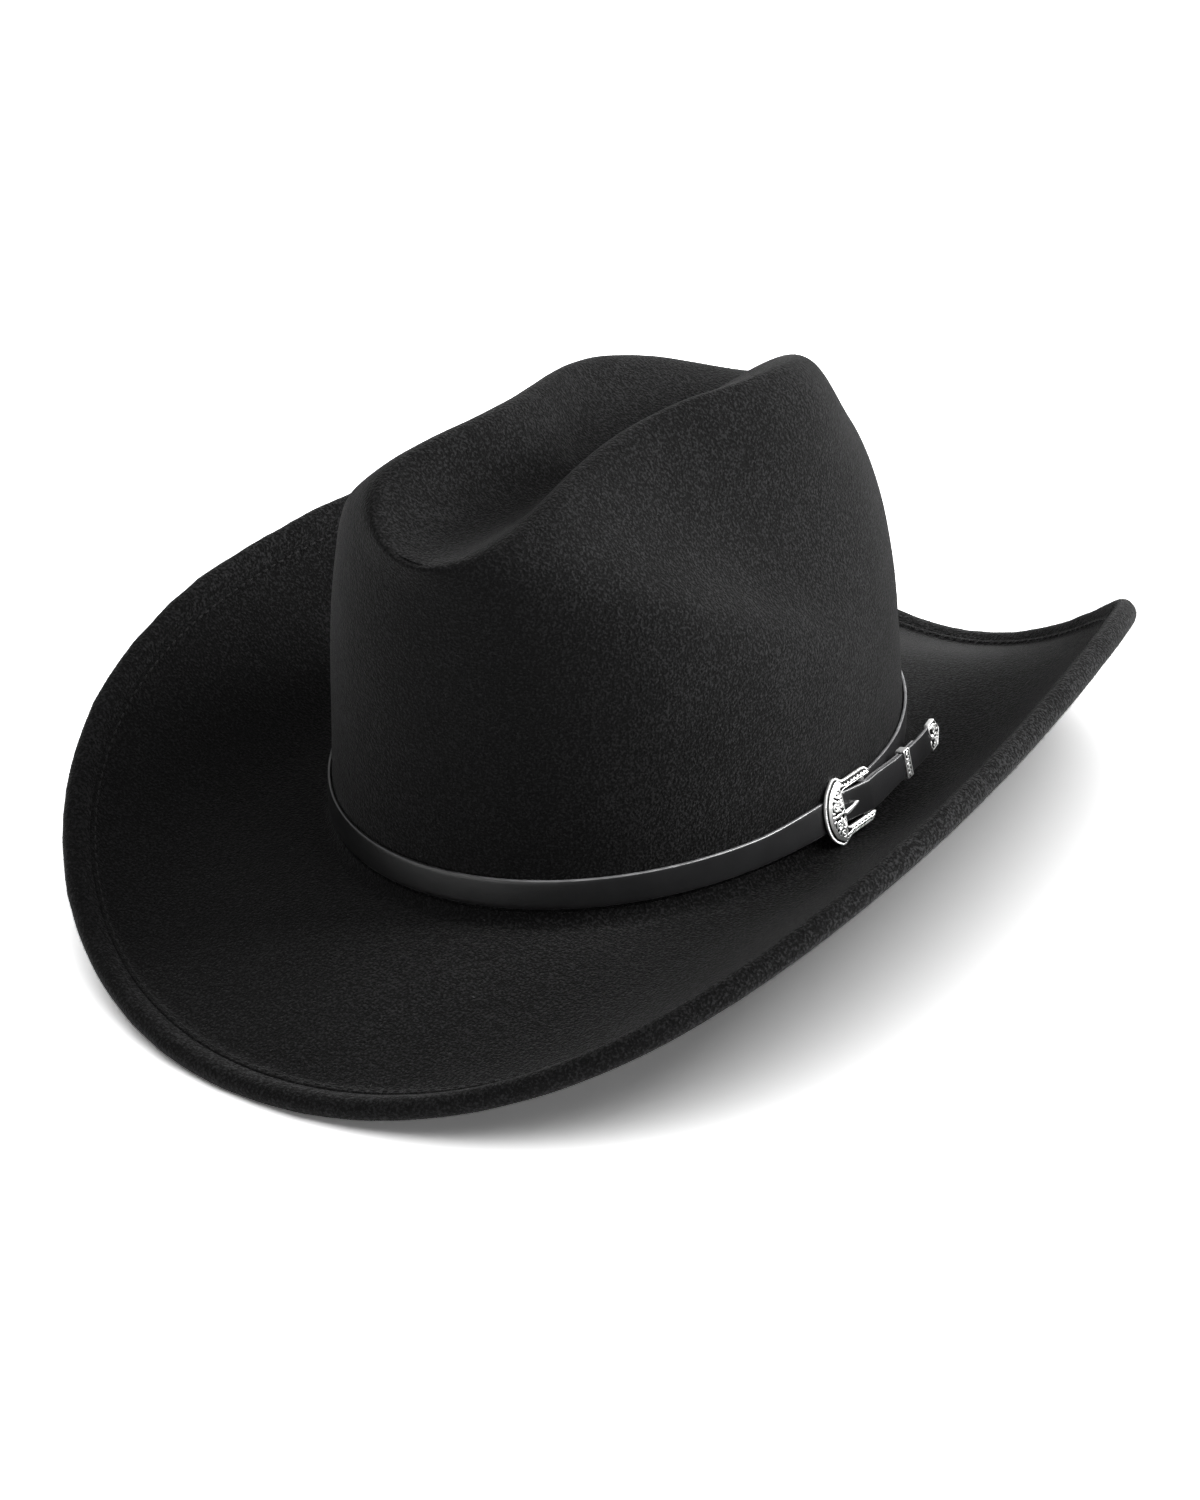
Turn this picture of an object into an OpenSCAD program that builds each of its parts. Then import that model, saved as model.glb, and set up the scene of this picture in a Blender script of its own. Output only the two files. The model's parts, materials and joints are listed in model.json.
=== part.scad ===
// Western felt hat: cattleman crown, curled brim and a strap hatband with a three-piece buckle set.
// The front points along -Y, the wearer's left along +X, and the brim's front and back dips rest on z = 0.
// Lists of stations run evenly from the front of the hat to its back and are mirrored on both sides.

/* [Crown] */
// Half the crown's length at the brim, outside
crown_a = 105.5; // [102:0.5:109]
// Half the crown's width at the brim, outside
crown_b = 82; // [79:0.5:85]
// Height of the crown's crest at the sides, above the brim
crown_h = 142.5; // [134:0.5:150]
// Height of the brim where it meets the crown, above the ground
break_z = 25; // [23:0.5:27]
// Thickness of the felt
felt_t = 2.5; // [1.8:0.1:3]
// How much higher the crest stands on the wearer's left than on the right
crest_lean = 3.5; // [0:0.5:5]
// How much the crest's rear left and front right corners rise
crest_twist = 5; // [0:0.5:7]
// How much the shoulders under those two corners rise
shoulder_twist = 5; // [0:0.5:7]

/* [Brim] */
// Reach of the brim's front edge from the crown's middle
brim_front = 189; // [180:1:196]
// Reach of the brim's back edge from the crown's middle
brim_back = 171; // [164:1:180]
// Half the brim's width
brim_side = 146; // [140:1:152]
// Height of the curled sides
curl_h = 69; // [55:1:78]
// Half the width of the folded hem
hem_half_w = 4.5; // [4:0.1:5]
// Half the thickness of the folded hem
hem_half_t = 3.4; // [3:0.1:3.8]
// Diameter of the wire in the hem
wire_d = 2; // [1.6:0.1:2.2]

/* [Sweatband] */
// Height of the sweatband
sweat_h = 30; // [24:1:34]
// Thickness of the sweatband
sweat_t = 1; // [0.6:0.1:1.2]
// Width of the joint tape at the back
tape_w = 22; // [14:1:30]

/* [Hatband] */
// Width of the strap round the crown
strap_w = 10; // [9:0.5:11]
// Width of the strap's tapered tail
tail_w = 8.2; // [7.6:0.1:8.6]
// Thickness of the strap
strap_t = 1; // [0.8:0.05:1.1]
// Height of the strap's middle above the brim
strap_lift = 10.4; // [10.2:0.1:12]
// Reach of the tail from the buckle's bar to the strap's end
tail_l = 46; // [44:0.5:52]
// Reach of the folded-back end from the buckle's bar
fold_l = 31; // [29:0.5:34]

/* [Buckle set] */
// Where the bar sits round the crown, from the front towards the wearer's left
bar_angle = 98; // [95:0.5:101]
// How far the buckle's lower side leans out
lean = 12; // [8:0.5:13]
// Diameter of the bar
bar_d = 1.6; // [1.4:0.1:1.8]
// Length of the buckle from the bar to the bow's outer edge
bow_l = 22; // [21:0.5:23]
// Half the height of the bow
bow_half_h = 11.3; // [10.6:0.1:11.4]
// Half the height of the opening for the strap
window_half_h = 6.3; // [6:0.1:6.6]
// Thickness of the buckle's plate
plate_t = 2; // [1.6:0.1:2.2]
// Width of the keeper along the strap
keeper_w = 3.4; // [3:0.1:4]
// How far the keeper slides each way
keeper_travel = 3; // [2:0.5:3.5]
// Length of the strap's tip
tip_l = 9; // [8.5:0.1:10]

/* [Hidden] */

gap = 0.3;                    // between pieces that lie on each other
slip = 0.15;                  // between a loop and the strap or bar inside it
steps = 72;                   // divisions round the hat
step = 360 / steps;
crown_y = (brim_front - brim_back) / 2;   // puts the hat's box in the middle of the frame

// ---- shape of the crown, as shares of its height, width and length ----
shoulder_h = crown_h * [0.715, 0.715, 0.5, 0.41, 0.66];
shoulder_size = [0.98, 0.963, 0.95, 0.955, 0.957];
crest_w = crown_b * [0.495, 0.4, 0.325, 0.52, 0.36];
crest_h = crown_h * [0.831, 0.932, 1, 0.938, 0.8];
dent_sag = crown_h * [0.035, 0.02, -0.085, 0.028, 0.01];
crest_mid_y = -0.155 * crown_a;
crest_reach = 0.875 * crown_a;
crest_off_x = 2.3;
crease_mid_y = -0.187 * crown_a;
crease_h = 0.79 * crown_h;
wall_h = 17;                  // upright part of the wall, behind the hatband

// ---- shape of the brim's edge ----
edge_x = brim_side * [1, 1.03, 0.945, 1.19];
edge_y = [brim_front, brim_front * 1.074, brim_back * 1.152, brim_back];
break_slope = [-0.05, -0.05, -0.05, -0.07, -0.1];
edge_slope = [-0.35, 0.3, 1.1, 1, -0.3];
brim_rows = 10;
turn_r = 5.4;                 // the brim turns up against the crown on this radius
turn_end = 75;

// ---- the hem's folded section: x outwards along the brim, y up from it ----
hem_open = 25;                // half angle of the gap that faces the brim
hem_bore = wire_d / 2 + 0.25;
function soft(v) = sign(v) * pow(abs(v), 0.8);
hem_section = concat(
    [for (i = [0 : 7]) let (a = hem_open + i * (360 - 2 * hem_open) / 7)
        [-hem_half_w * soft(cos(a)), hem_half_t * soft(sin(a))]],
    [for (i = [5 : -1 : 0]) let (a = hem_open + i * (360 - 2 * hem_open) / 5)
        [-hem_bore * cos(a), hem_bore * sin(a)]]
);
function hem_drop(slope) =
    -min([for (p = hem_section) (p.x * slope + p.y) / sqrt(1 + slope * slope)]);
edge_z = [
    hem_drop(edge_slope[0]), curl_h * 0.29, curl_h * 0.845,
    curl_h, curl_h * 0.67, hem_drop(edge_slope[4])
];

// ---- shared functions ----
function unit(v) = v / norm(v);
function half_end(i, n) = (i == 0 || i == n) ? 0.5 : 1;
function total(v) = [for (x = v) 1] * v;

// A value that passes through v[0..n], at even angles from the front to the back
function station(v, phi) =
    let (n = len(v) - 1)
    total([for (k = [0 : n]) half_end(k, n) * 2 / n * cos(k * phi)
        * total([for (j = [0 : n]) half_end(j, n) * v[j] * cos(k * j * 180 / n)])]);

// The crown's base oval, and its outward direction
function out_dir(phi) = unit([sin(phi) / crown_b, -cos(phi) / crown_a]);
function oval(phi, off = 0) = [crown_b * sin(phi), -crown_a * cos(phi)] + off * out_dir(phi);
function at_z(p, z) = [p.x, p.y, z];

// Surface grids: rows run upwards or inwards, columns run round the hat
function grid_normal(g, i, j) =
    let (
        n = len(g),
        m = len(g[0]),
        along = g[i][(j + 1) % m] - g[i][(j + m - 1) % m],
        across = g[min(i + 1, n - 1)][j] - g[max(i - 1, 0)][j]
    )
    unit(cross(along, across));
function inset(g, t) =
    [for (i = [0 : len(g) - 1]) [for (j = [0 : len(g[0]) - 1]) g[i][j] - t * grid_normal(g, i, j)]];
function flat(rows) = [for (r = rows) each r];

// Faces of one skin of r rows of m points, whose first point is number s
function skin_out(r, m, s = 0) = [for (i = [0 : r - 2], j = [0 : m - 1])
    let (a = s + i * m + j, b = s + i * m + (j + 1) % m, c = a + m, d = b + m)
    each [[a, c, d], [a, d, b]]];
function skin_in(r, m, s = 0) = [for (f = skin_out(r, m, s)) [f[0], f[2], f[1]]];
function rim_first(m, o, i) = [for (j = [0 : m - 1]) let (k = (j + 1) % m)
    each [[o + j, o + k, i + k], [o + j, i + k, i + j]]];
function rim_last(m, o, i) = [for (f = rim_first(m, o, i)) [f[0], f[2], f[1]]];

// ---- the crown's surface: a B-spline through control loops, from the brim up to the crease ----
function lift(phi) = crest_lean * sin(phi) - crest_twist * sin(2 * phi);
function base_loop(phi, k, h) = at_z(k * oval(phi), break_z + h);
function shoulder(phi) = base_loop(phi, station(shoulder_size, phi),
    station(shoulder_h, phi) + crest_lean / 2 * sin(phi) - shoulder_twist * sin(2 * phi));
function crest(phi) = [
    station(crest_w, phi) * sin(phi) + crest_off_x,
    crest_mid_y - crest_reach * cos(phi),
    break_z + station(crest_h, phi) + lift(phi)
];
function between(a, b, f, sag = 0) = a * (1 - f) + b * f + [0, 0, 4 * sag * f * (1 - f)];
crease_pole = [0, crease_mid_y, break_z + crease_h];
// The crease is rounded at its bottom
function bowl(c, f) =
    at_z(between(crease_pole, c, f), crease_pole.z + (c.z - crease_pole.z) * pow(f, 1.5));
function control_column(phi) =
    let (s = shoulder(phi), c = crest(phi), sag = station(dent_sag, phi),
        k = station(shoulder_size, phi), h = station(shoulder_h, phi))
    [
        base_loop(phi, 1, 0),
        base_loop(phi, 1, wall_h),
        base_loop(phi, 1 - (1 - k) * 0.35, (wall_h + h) / 2),
        s,
        between(s, c, 0.3, sag),
        between(s, c, 0.7, sag),
        c,
        bowl(c, 0.62),
        bowl(c, 0.25),
        crease_pole
    ];
function spline_weights(t) = [
    pow(1 - t, 3), 3 * t * t * t - 6 * t * t + 4, -3 * t * t * t + 3 * t * t + 3 * t + 1, t * t * t
] / 6;
function extended(c) = concat([2 * c[0] - c[1]], c, [2 * c[len(c) - 1] - c[len(c) - 2]]);
function spline_rows(columns, m) =
    let (e = [for (c = columns) extended(c)], spans = len(e[0]) - 3)
    [for (i = [0 : spans - 1], k = [0 : m - 1]) let (w = spline_weights(k / m))
        [for (c = e) w * [c[i], c[i + 1], c[i + 2], c[i + 3]]]];
crown_columns = [for (j = [0 : steps - 1]) control_column(j * step)];

module crown() {
    outer = spline_rows(crown_columns, 3);
    inner = inset(spline_rows(crown_columns, 2), felt_t);
    outer_n = len(outer) * steps;
    inner_n = len(inner) * steps;
    tip_out = outer_n + inner_n;
    last_out = outer_n - steps;
    last_in = tip_out - steps;
    fan_out = [for (j = [0 : steps - 1]) [last_out + j, tip_out, last_out + (j + 1) % steps]];
    fan_in = [for (j = [0 : steps - 1]) [last_in + j, last_in + (j + 1) % steps, tip_out + 1]];
    color("#1a1a1b")
    translate([0, crown_y, 0])
    polyhedron(
        points = concat(flat(outer), flat(inner), [crease_pole, crease_pole - [0, 0, felt_t]]),
        faces = concat(skin_out(len(outer), steps), skin_in(len(inner), steps, outer_n),
            rim_first(steps, 0, outer_n), fan_out, fan_in)
    );
}

// ---- the brim ----
function edge(phi) = [
    sin(phi) * station(edge_x, phi), -cos(phi) * station(edge_y, phi), station(edge_z, phi)
];
// Directions at the edge: along it, outwards along the felt, and up from the felt
function edge_along(phi) = unit(edge(phi + 1) - edge(phi - 1));
function edge_out(phi) =
    let (t = edge_along(phi), s = station(edge_slope, phi), d = unit([t.y, -t.x]),
        v = unit([d.x, d.y, s]))
    unit(v - (v * t) * t);
function edge_up(phi) = cross(edge_out(phi), edge_along(phi));
function sheet_edge(phi) = edge(phi) - (hem_half_w + gap) * edge_out(phi);
function brim_point(phi, v) =
    let (
        b = oval(phi, gap + turn_r),
        e = sheet_edge(phi),
        reach = norm([e.x, e.y] - b),
        h0 = break_z * (2 * pow(v, 3) - 3 * v * v + 1) + e.z * (3 * v * v - 2 * pow(v, 3)),
        h1 = reach * station(break_slope, phi) * (pow(v, 3) - 2 * v * v + v)
            + reach * station(edge_slope, phi) * (pow(v, 3) - v * v)
    )
    at_z(b * (1 - v) + [e.x, e.y] * v, h0 + h1);

function brim_turn(phi, a) = at_z(oval(phi, gap + turn_r * (1 - sin(a))), break_z + turn_r * (1 - cos(a)));

module brim() {
    turns = [for (i = [1 : 3]) i * turn_end / 3];
    lip_z = break_z + turn_r * (1 - cos(turn_end));
    sheet = [for (i = [0 : brim_rows]) [for (j = [0 : steps - 1]) brim_point(j * step, 1 - i / brim_rows)]];
    top = concat(
        sheet,
        [for (a = turns) [for (j = [0 : steps - 1]) brim_turn(j * step, a)]],
        [for (p = [[gap, lip_z], [gap, break_z - gap], [-felt_t, break_z - gap]])
            [for (j = [0 : steps - 1]) at_z(oval(j * step, p.x), p.y)]]
    );
    under = concat(
        inset(sheet, felt_t),
        [[for (j = [0 : steps - 1]) at_z(oval(j * step, -felt_t), break_z - gap - felt_t)]]
    );
    n = len(top) * steps;
    m = len(under) * steps;
    color("#1a1a1b")
    translate([0, crown_y, 0])
    polyhedron(
        points = concat(flat(top), flat(under)),
        faces = concat(skin_out(len(top), steps), skin_in(len(under), steps, n),
            rim_first(steps, 0, n), rim_last(steps, n - steps, n + m - steps))
    );
}

// A closed tube round the brim's edge, from a section drawn across it
module edge_sweep(section) {
    m = len(section);
    points = [for (j = [0 : steps - 1]) let (a = j * step) each
        [for (p = section) edge(a) + p.x * edge_out(a) + p.y * edge_up(a)]];
    faces = [for (j = [0 : steps - 1], k = [0 : m - 1])
        let (a = j * m + k, b = j * m + (k + 1) % m, c = ((j + 1) % steps) * m + k,
            d = ((j + 1) % steps) * m + (k + 1) % m)
        each [[a, c, d], [a, d, b]]];
    translate([0, crown_y, 0])
    polyhedron(points = points, faces = faces);
}

module brim_hem() {
    color("#1c1c1d")
    edge_sweep(hem_section);
}

module brim_wire() {
    color("#8c8c90")
    edge_sweep([for (i = [0 : 5]) wire_d / 2 * [cos(-60 * i), sin(-60 * i)]]);
}

// Stitches along the groove between the hem and the brim, two to each division of the felt
stitch_d = 0.6;
module brim_hem_stitching() {
    color("#101010")
    translate([0, crown_y, 0])
    for (i = [0 : steps - 1], f = [0.25, 0.75]) {
        a = i * step;
        b = a + step;
        t = unit(sheet_edge(b) - sheet_edge(a));
        m = a + f * step;
        translate(sheet_edge(a) * (1 - f) + sheet_edge(b) * f - 0.8 * edge_out(m)
            + (gap + stitch_d / 2) * edge_up(m))
        rotate([0, 0, atan2(t.y, t.x)])
        rotate([0, -asin(t.z), 0])
        cube([3, stitch_d, stitch_d], center = true);
    }
}

// ---- bands inside the crown ----
sweat_out = -(felt_t + 1.4);              // the crown's wall leans in a little above the hatband
sweat_in = sweat_out - sweat_t;
sweat_z = break_z - 2;
slit = 0.5;                               // half angle of the sweatband's open joint
function band_outline(off0, off1, a0, a1, n) = concat(
    [for (i = [0 : n]) oval(a0 + i * (a1 - a0) / n, off0)],
    [for (i = [n : -1 : 0]) oval(a0 + i * (a1 - a0) / n, off1)]
);
module wall_band(off0, off1, a0, a1, z, h, n = steps) {
    translate([0, crown_y, z])
    linear_extrude(height = h)
    polygon(band_outline(off0, off1, a0, a1, n));
}

module sweatband() {
    color("#232120")
    wall_band(sweat_out, sweat_in, 180 + slit, 540 - slit, sweat_z, sweat_h);
}

module sweatband_reed() {
    color("#1d1c1b")
    wall_band(sweat_out + 0.4, sweat_in - 0.4, 180 + slit, 540 - slit, sweat_z - gap - 1.8, 1.8);
}

module sweatband_joint_tape() {
    half = tape_w / 2 / crown_b * 180 / PI;
    color("#141414")
    wall_band(sweat_in - gap, sweat_in - gap - 0.6, 180 - half, 180 + half, sweat_z + 2, sweat_h - 4, 8);
}

sweat_stitches = 60;
module sweatband_stitching() {
    color("#2c2a28")
    translate([0, crown_y, sweat_z + 1.2])
    for (i = [0 : sweat_stitches - 1]) {
        a = (i + 0.5) * 360 / sweat_stitches;
        d = out_dir(a);
        p = oval(a, sweat_in - 0.5);
        translate([p.x, p.y, 0])
        rotate([0, 0, atan2(d.y, d.x)])
        cube([0.5, 4, 0.5], center = true);
    }
}

// ---- where the buckle sits: x forwards to the bow, y out from the crown, z up along the bar ----
bar_r = bar_d / 2;
hug = gap + strap_t / 2;                  // the strap's middle from the wall
bar_off = hug + strap_w / 2 * sin(lean) + bar_r + slip + strap_t / 2;
loop_r = bar_r + slip + strap_t / 2;
tail_r = loop_r + strap_t + slip;
buckle_rise = 1.3;                        // the brim's curl lifts the buckle this much
bar_z = break_z + strap_lift + buckle_rise;
bar_xy = oval(bar_angle, bar_off);
bar_dir = out_dir(bar_angle);
face_turn = atan2(bar_dir.y, bar_dir.x) - 90;
local_x = [bar_dir.y, -bar_dir.x, 0];
local_y = [bar_dir.x * cos(lean), bar_dir.y * cos(lean), sin(lean)];
local_z = [-bar_dir.x * sin(lean), -bar_dir.y * sin(lean), cos(lean)];
function local(p, z = 0) = [bar_xy.x, bar_xy.y, bar_z] + p.x * local_x + p.y * local_y + z * local_z;
module at_buckle() {
    translate([bar_xy.x, bar_xy.y + crown_y, bar_z])
    rotate([lean, 0, face_turn])
    children();
}

// ---- the strap: one ribbon, drawn as a list of rings [point, up, width] ----
mm_per_degree = norm(oval(bar_angle + 0.5) - oval(bar_angle - 0.5));
// How fully the strap follows the buckle's lean, s mm behind the bar
function ease(t) = let (u = max(0, min(1, t))) u * u * (3 - 2 * u);
function near_buckle(s) = s < 0 ? ease((s + 50) / 28) : ease((40 - s) / 36);
function wall_ring(phi, s) =
    let (
        l = lean * near_buckle(s),
        d = out_dir(phi),
        p = oval(phi, hug + strap_w / 2 * sin(l)),
        z = break_z + strap_lift + buckle_rise * near_buckle(s)
    )
    [at_z(p, z), [-d.x * sin(l), -d.y * sin(l), cos(l)], strap_w];
function bar_ring(x, y, w) = [local([x, y]), local_z, w];
function arc_rings(r, a0, a1, n) = [for (i = [0 : n]) let (a = a0 + i * (a1 - a0) / n)
    bar_ring(r * cos(a), r * sin(a), strap_w)];
// The tail narrows behind the bar, and bends back towards the crown behind the keeper
taper_start = 5;
keeper_s = 23;
taper_end = keeper_s - keeper_w / 2 - keeper_travel - 1.3;
bend_start = keeper_s + keeper_w / 2 + keeper_travel - 3.7;
bend = 0.005;
function width_at(s) = strap_w + (tail_w - strap_w) * max(0, min(1, (s - taper_start) / (taper_end - taper_start)));
function tail_y(s) = tail_r - bend * pow(max(0, s - bend_start), 2);
rise_s = 13;                              // the strap leaves the wall under the bow
rise_phi = bar_angle - rise_s / mm_per_degree;
rise_ring = wall_ring(rise_phi, -rise_s);
rise_v = rise_ring[0] - local([0, 0]);
rise_p = [rise_v * local_x, rise_v * local_y];
rise_a = atan2(rise_p.y, rise_p.x) + acos(tail_r / norm(rise_p));
first_step = ceil((bar_angle + 2) / step);
last_step = floor((360 + rise_phi - 1) / step);
strap_rings = concat(
    [for (s = [fold_l, taper_end, taper_start]) bar_ring(-s, loop_r, width_at(s))],
    arc_rings(loop_r, 90, -90, 12),
    [for (i = [first_step : last_step]) let (a = i * step, s = (a - bar_angle) * mm_per_degree)
        wall_ring(a, s < 180 * mm_per_degree ? s : s - 360 * mm_per_degree)],
    [rise_ring],
    arc_rings(tail_r, rise_a, 90, 3),
    [for (s = [taper_start, taper_end, bend_start]) bar_ring(-s, tail_r, width_at(s))],
    [for (i = [1 : 6]) let (s = bend_start + i * (tail_l - bend_start) / 6) bar_ring(-s, tail_y(s), tail_w)]
);
function ring_corners(r, i) =
    let (
        n = len(r) - 1,
        t = unit(r[min(i + 1, n)][0] - r[max(i - 1, 0)][0]),
        side = unit(cross(t, r[i][1])) * strap_t / 2,
        up = r[i][1] * r[i][2] / 2
    )
    [r[i][0] + side + up, r[i][0] - side + up, r[i][0] - side - up, r[i][0] + side - up];

prong_half_w = 1;
slot_half_w = prong_half_w + 0.35;
module hatband_strap() {
    n = len(strap_rings);
    sides = [for (i = [0 : n - 2], k = [0 : 3])
        let (a = 4 * i + k, b = 4 * i + (k + 1) % 4, c = b + 4, d = a + 4)
        each [[a, b, c], [a, c, d]]];
    color("#0c0c0d")
    difference() {
        translate([0, crown_y, 0])
        polyhedron(
            points = [for (i = [0 : n - 1]) each ring_corners(strap_rings, i)],
            faces = concat([[0, 3, 2], [0, 2, 1]], sides,
                [[4 * n - 4, 4 * n - 3, 4 * n - 2], [4 * n - 4, 4 * n - 2, 4 * n - 1]])
        );
        at_buckle() {
            // room for the prong's eye in the fold, and its slot in the strap that rises over the bar
            cylinder(r = loop_r + strap_t / 2 + slip / 2, h = 2 * slot_half_w, center = true, $fn = 12);
            translate([1, -3, -slot_half_w])
            cube([9, 6.5, 2 * slot_half_w]);
            for (z = stitch_z)
                translate([-stitch_s, 0, z])
                rotate([90, 0, 0])
                cylinder(r = stitch_r + 0.1, h = 12, center = true, $fn = 6);
        }
    }
}

// Threads that tie the folded-back end to the strap behind it
stitch_s = 4.5;
stitch_r = 0.3;
stitch_z = [-3.2, -1.9, 1.9, 3.2];
module fold_stitching() {
    color("#1a1a1a")
    at_buckle()
    for (z = stitch_z)
        translate([-stitch_s, loop_r + strap_t / 2, z])
        rotate([90, 0, 0])
        cylinder(r = stitch_r, h = 2 * loop_r + strap_t, $fn = 24);
}

// ---- the buckle ----
plate_tilt = 8;                           // the bow lies closer to the crown than the arms do
plate_y = 1.7;                            // middle of the plate over the bar
arm_half_h = 9.2;
arm_back = 1.6;
notch_x = 11.6;                           // where the arms widen into the bow
window_l = 12.4;
shoulder_r = 2.6;
shoulder_x = notch_x + shoulder_r;
// Outer arc of the bow, through its tip and past both shoulders
bow_arc_x = 9.3;
bow_arc_r = bow_l - bow_arc_x;
bow_arc_a = asin((bow_half_h - 1.2) / bow_arc_r);
module frame_outline() {
    upper = concat(
        [[-arm_back, window_half_h], [-arm_back, arm_half_h - 1.2], [-arm_back + 1.2, arm_half_h]],
        [[notch_x - 0.6, arm_half_h], [notch_x, arm_half_h + 0.8]],
        [for (a = [160 : -20 : 60]) [shoulder_x + shoulder_r * cos(a),
            bow_half_h - shoulder_r + shoulder_r * sin(a)]],
        [for (i = [4 : -1 : 1]) bow_arc_r * [cos(i * bow_arc_a / 5), sin(i * bow_arc_a / 5)] + [bow_arc_x, 0]]
    );
    inside = [
        [window_l - 1.5, window_half_h], [window_l, window_half_h - 1.5]
    ];
    polygon(concat(
        upper,
        [[bow_l, 0]],
        [for (i = [len(upper) - 1 : -1 : 0]) [upper[i].x, -upper[i].y]],
        [for (p = inside) [p.x, -p.y]],
        [inside[1], inside[0]]
    ));
}

lug_w = 1.4;
module buckle_frame() {
    color("silver")
    at_buckle()
    difference() {
        union() {
            translate([0, plate_y, 0])
            rotate([0, 0, -plate_tilt])
            translate([0, plate_t / 2, 0])
            rotate([90, 0, 0])
            linear_extrude(height = plate_t)
            frame_outline();
            for (side = [-1, 1])
                translate([0, 0, side * (window_half_h + lug_w / 2)]) {
                    cylinder(r = bar_r + 0.5, h = lug_w, center = true, $fn = 48);
                    translate([0, plate_y / 2, 0])
                    cube([2 * bar_r + 1, plate_y, lug_w], center = true);
                }
        }
        cylinder(r = bar_r + 0.03, h = 30, center = true, $fn = 48);
    }
}

module buckle_bar() {
    color("silver")
    at_buckle()
    cylinder(r = bar_r, h = 2 * (window_half_h + lug_w), center = true, $fn = 48);
}

prong_r = 0.7;
prong_l = 16;
prong_rise = 8.4;
module buckle_prong() {
    color("silver")
    at_buckle()
    difference() {
        union() {
            cylinder(r = loop_r + 0.25, h = 2 * prong_half_w, center = true, $fn = 48);
            rotate([0, 0, prong_rise])
            rotate([0, 90, 0])
            cylinder(r1 = prong_r, r2 = prong_r - 0.2, h = prong_l, $fn = 32);
            rotate([0, 0, prong_rise])
            translate([prong_l, 0, 0])
            sphere(r = prong_r - 0.2, $fn = 32);
        }
        cylinder(r = bar_r + 0.1, h = 4, center = true, $fn = 48);
    }
}

// ---- the keeper and the tip ----
keeper_t = 0.6;
module strap_keeper() {
    y0 = loop_r - strap_t / 2 - slip;
    y1 = tail_r + strap_t / 2 + slip;
    half_h = tail_w / 2 + slip;
    color("silver")
    at_buckle()
    translate([-keeper_s - keeper_w / 2, 0, 0])
    difference() {
        translate([0, y0 - keeper_t, -half_h - keeper_t])
        cube([keeper_w, y1 - y0 + 2 * keeper_t, 2 * (half_h + keeper_t)]);
        translate([-1, y0, -half_h])
        cube([keeper_w + 2, y1 - y0, 2 * half_h]);
    }
}

tip_grip = 4.5;                           // how much of the strap is inside the tip
tip_turn = atan(2 * bend * (tail_l - tip_grip / 2 - bend_start));
tip_wall = 0.5;
module strap_tip() {
    half_h = tail_w / 2 + tip_wall;
    half_t = strap_t / 2 + 0.1 + tip_wall;
    color("silver")
    at_buckle()
    translate([-tail_l, tail_y(tail_l), 0])
    rotate([0, 0, tip_turn])
    difference() {
        union() {
            translate([0, half_t, 0])
            rotate([90, 0, 0])
            linear_extrude(height = 2 * half_t)
            polygon([
                [tip_grip, -half_h], [tip_grip + 0.9, -half_h / 2], [tip_grip, 0],
                [tip_grip + 0.9, half_h / 2], [tip_grip, half_h],
                [tip_grip - tip_l * 0.6, half_h], [tip_grip - tip_l, 0], [tip_grip - tip_l * 0.6, -half_h]
            ]);
            translate([tip_grip + 0.2, half_t, 0])
            rotate([90, 0, 0])
            cylinder(r = 1.1, h = half_t - strap_t / 2 - 0.1, $fn = 32);
        }
        translate([-0.1, -strap_t / 2 - 0.1, -tail_w / 2 - 0.1])
        cube([tip_grip + 2, strap_t + 0.2, tail_w + 0.2]);
    }
}

crown();
brim();
brim_hem();
brim_wire();
brim_hem_stitching();
sweatband();
sweatband_reed();
sweatband_joint_tape();
sweatband_stitching();
hatband_strap();
fold_stitching();
buckle_frame();
buckle_bar();
buckle_prong();
strap_keeper();
strap_tip();
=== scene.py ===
import bpy
import json
import numpy as np
from math import acos, asin, atan, atan2, copysign, cos, pi, radians, sin
from mathutils import Matrix, Vector, noise


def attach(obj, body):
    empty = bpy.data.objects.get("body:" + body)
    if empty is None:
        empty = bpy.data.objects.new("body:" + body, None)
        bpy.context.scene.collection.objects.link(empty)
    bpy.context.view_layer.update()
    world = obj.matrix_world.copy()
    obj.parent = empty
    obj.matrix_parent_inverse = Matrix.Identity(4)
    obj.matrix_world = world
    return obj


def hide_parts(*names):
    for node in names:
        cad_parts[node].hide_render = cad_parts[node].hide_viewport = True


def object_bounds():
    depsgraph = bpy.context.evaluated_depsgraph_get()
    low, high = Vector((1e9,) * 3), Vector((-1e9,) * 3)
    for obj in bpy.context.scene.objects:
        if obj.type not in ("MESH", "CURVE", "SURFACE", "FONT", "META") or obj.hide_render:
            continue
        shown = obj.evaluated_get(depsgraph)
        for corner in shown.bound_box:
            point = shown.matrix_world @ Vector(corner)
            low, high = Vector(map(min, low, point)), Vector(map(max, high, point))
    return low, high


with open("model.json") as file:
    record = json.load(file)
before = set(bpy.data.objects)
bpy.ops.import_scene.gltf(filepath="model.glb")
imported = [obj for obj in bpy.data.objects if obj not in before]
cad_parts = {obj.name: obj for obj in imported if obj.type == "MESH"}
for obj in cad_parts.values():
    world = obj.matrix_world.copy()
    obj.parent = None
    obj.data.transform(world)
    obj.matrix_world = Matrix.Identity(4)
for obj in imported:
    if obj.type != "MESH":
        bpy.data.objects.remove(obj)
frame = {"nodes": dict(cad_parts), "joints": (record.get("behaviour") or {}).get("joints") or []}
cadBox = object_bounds()
print("frame loaded:", len(frame["nodes"]), "solids")

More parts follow.
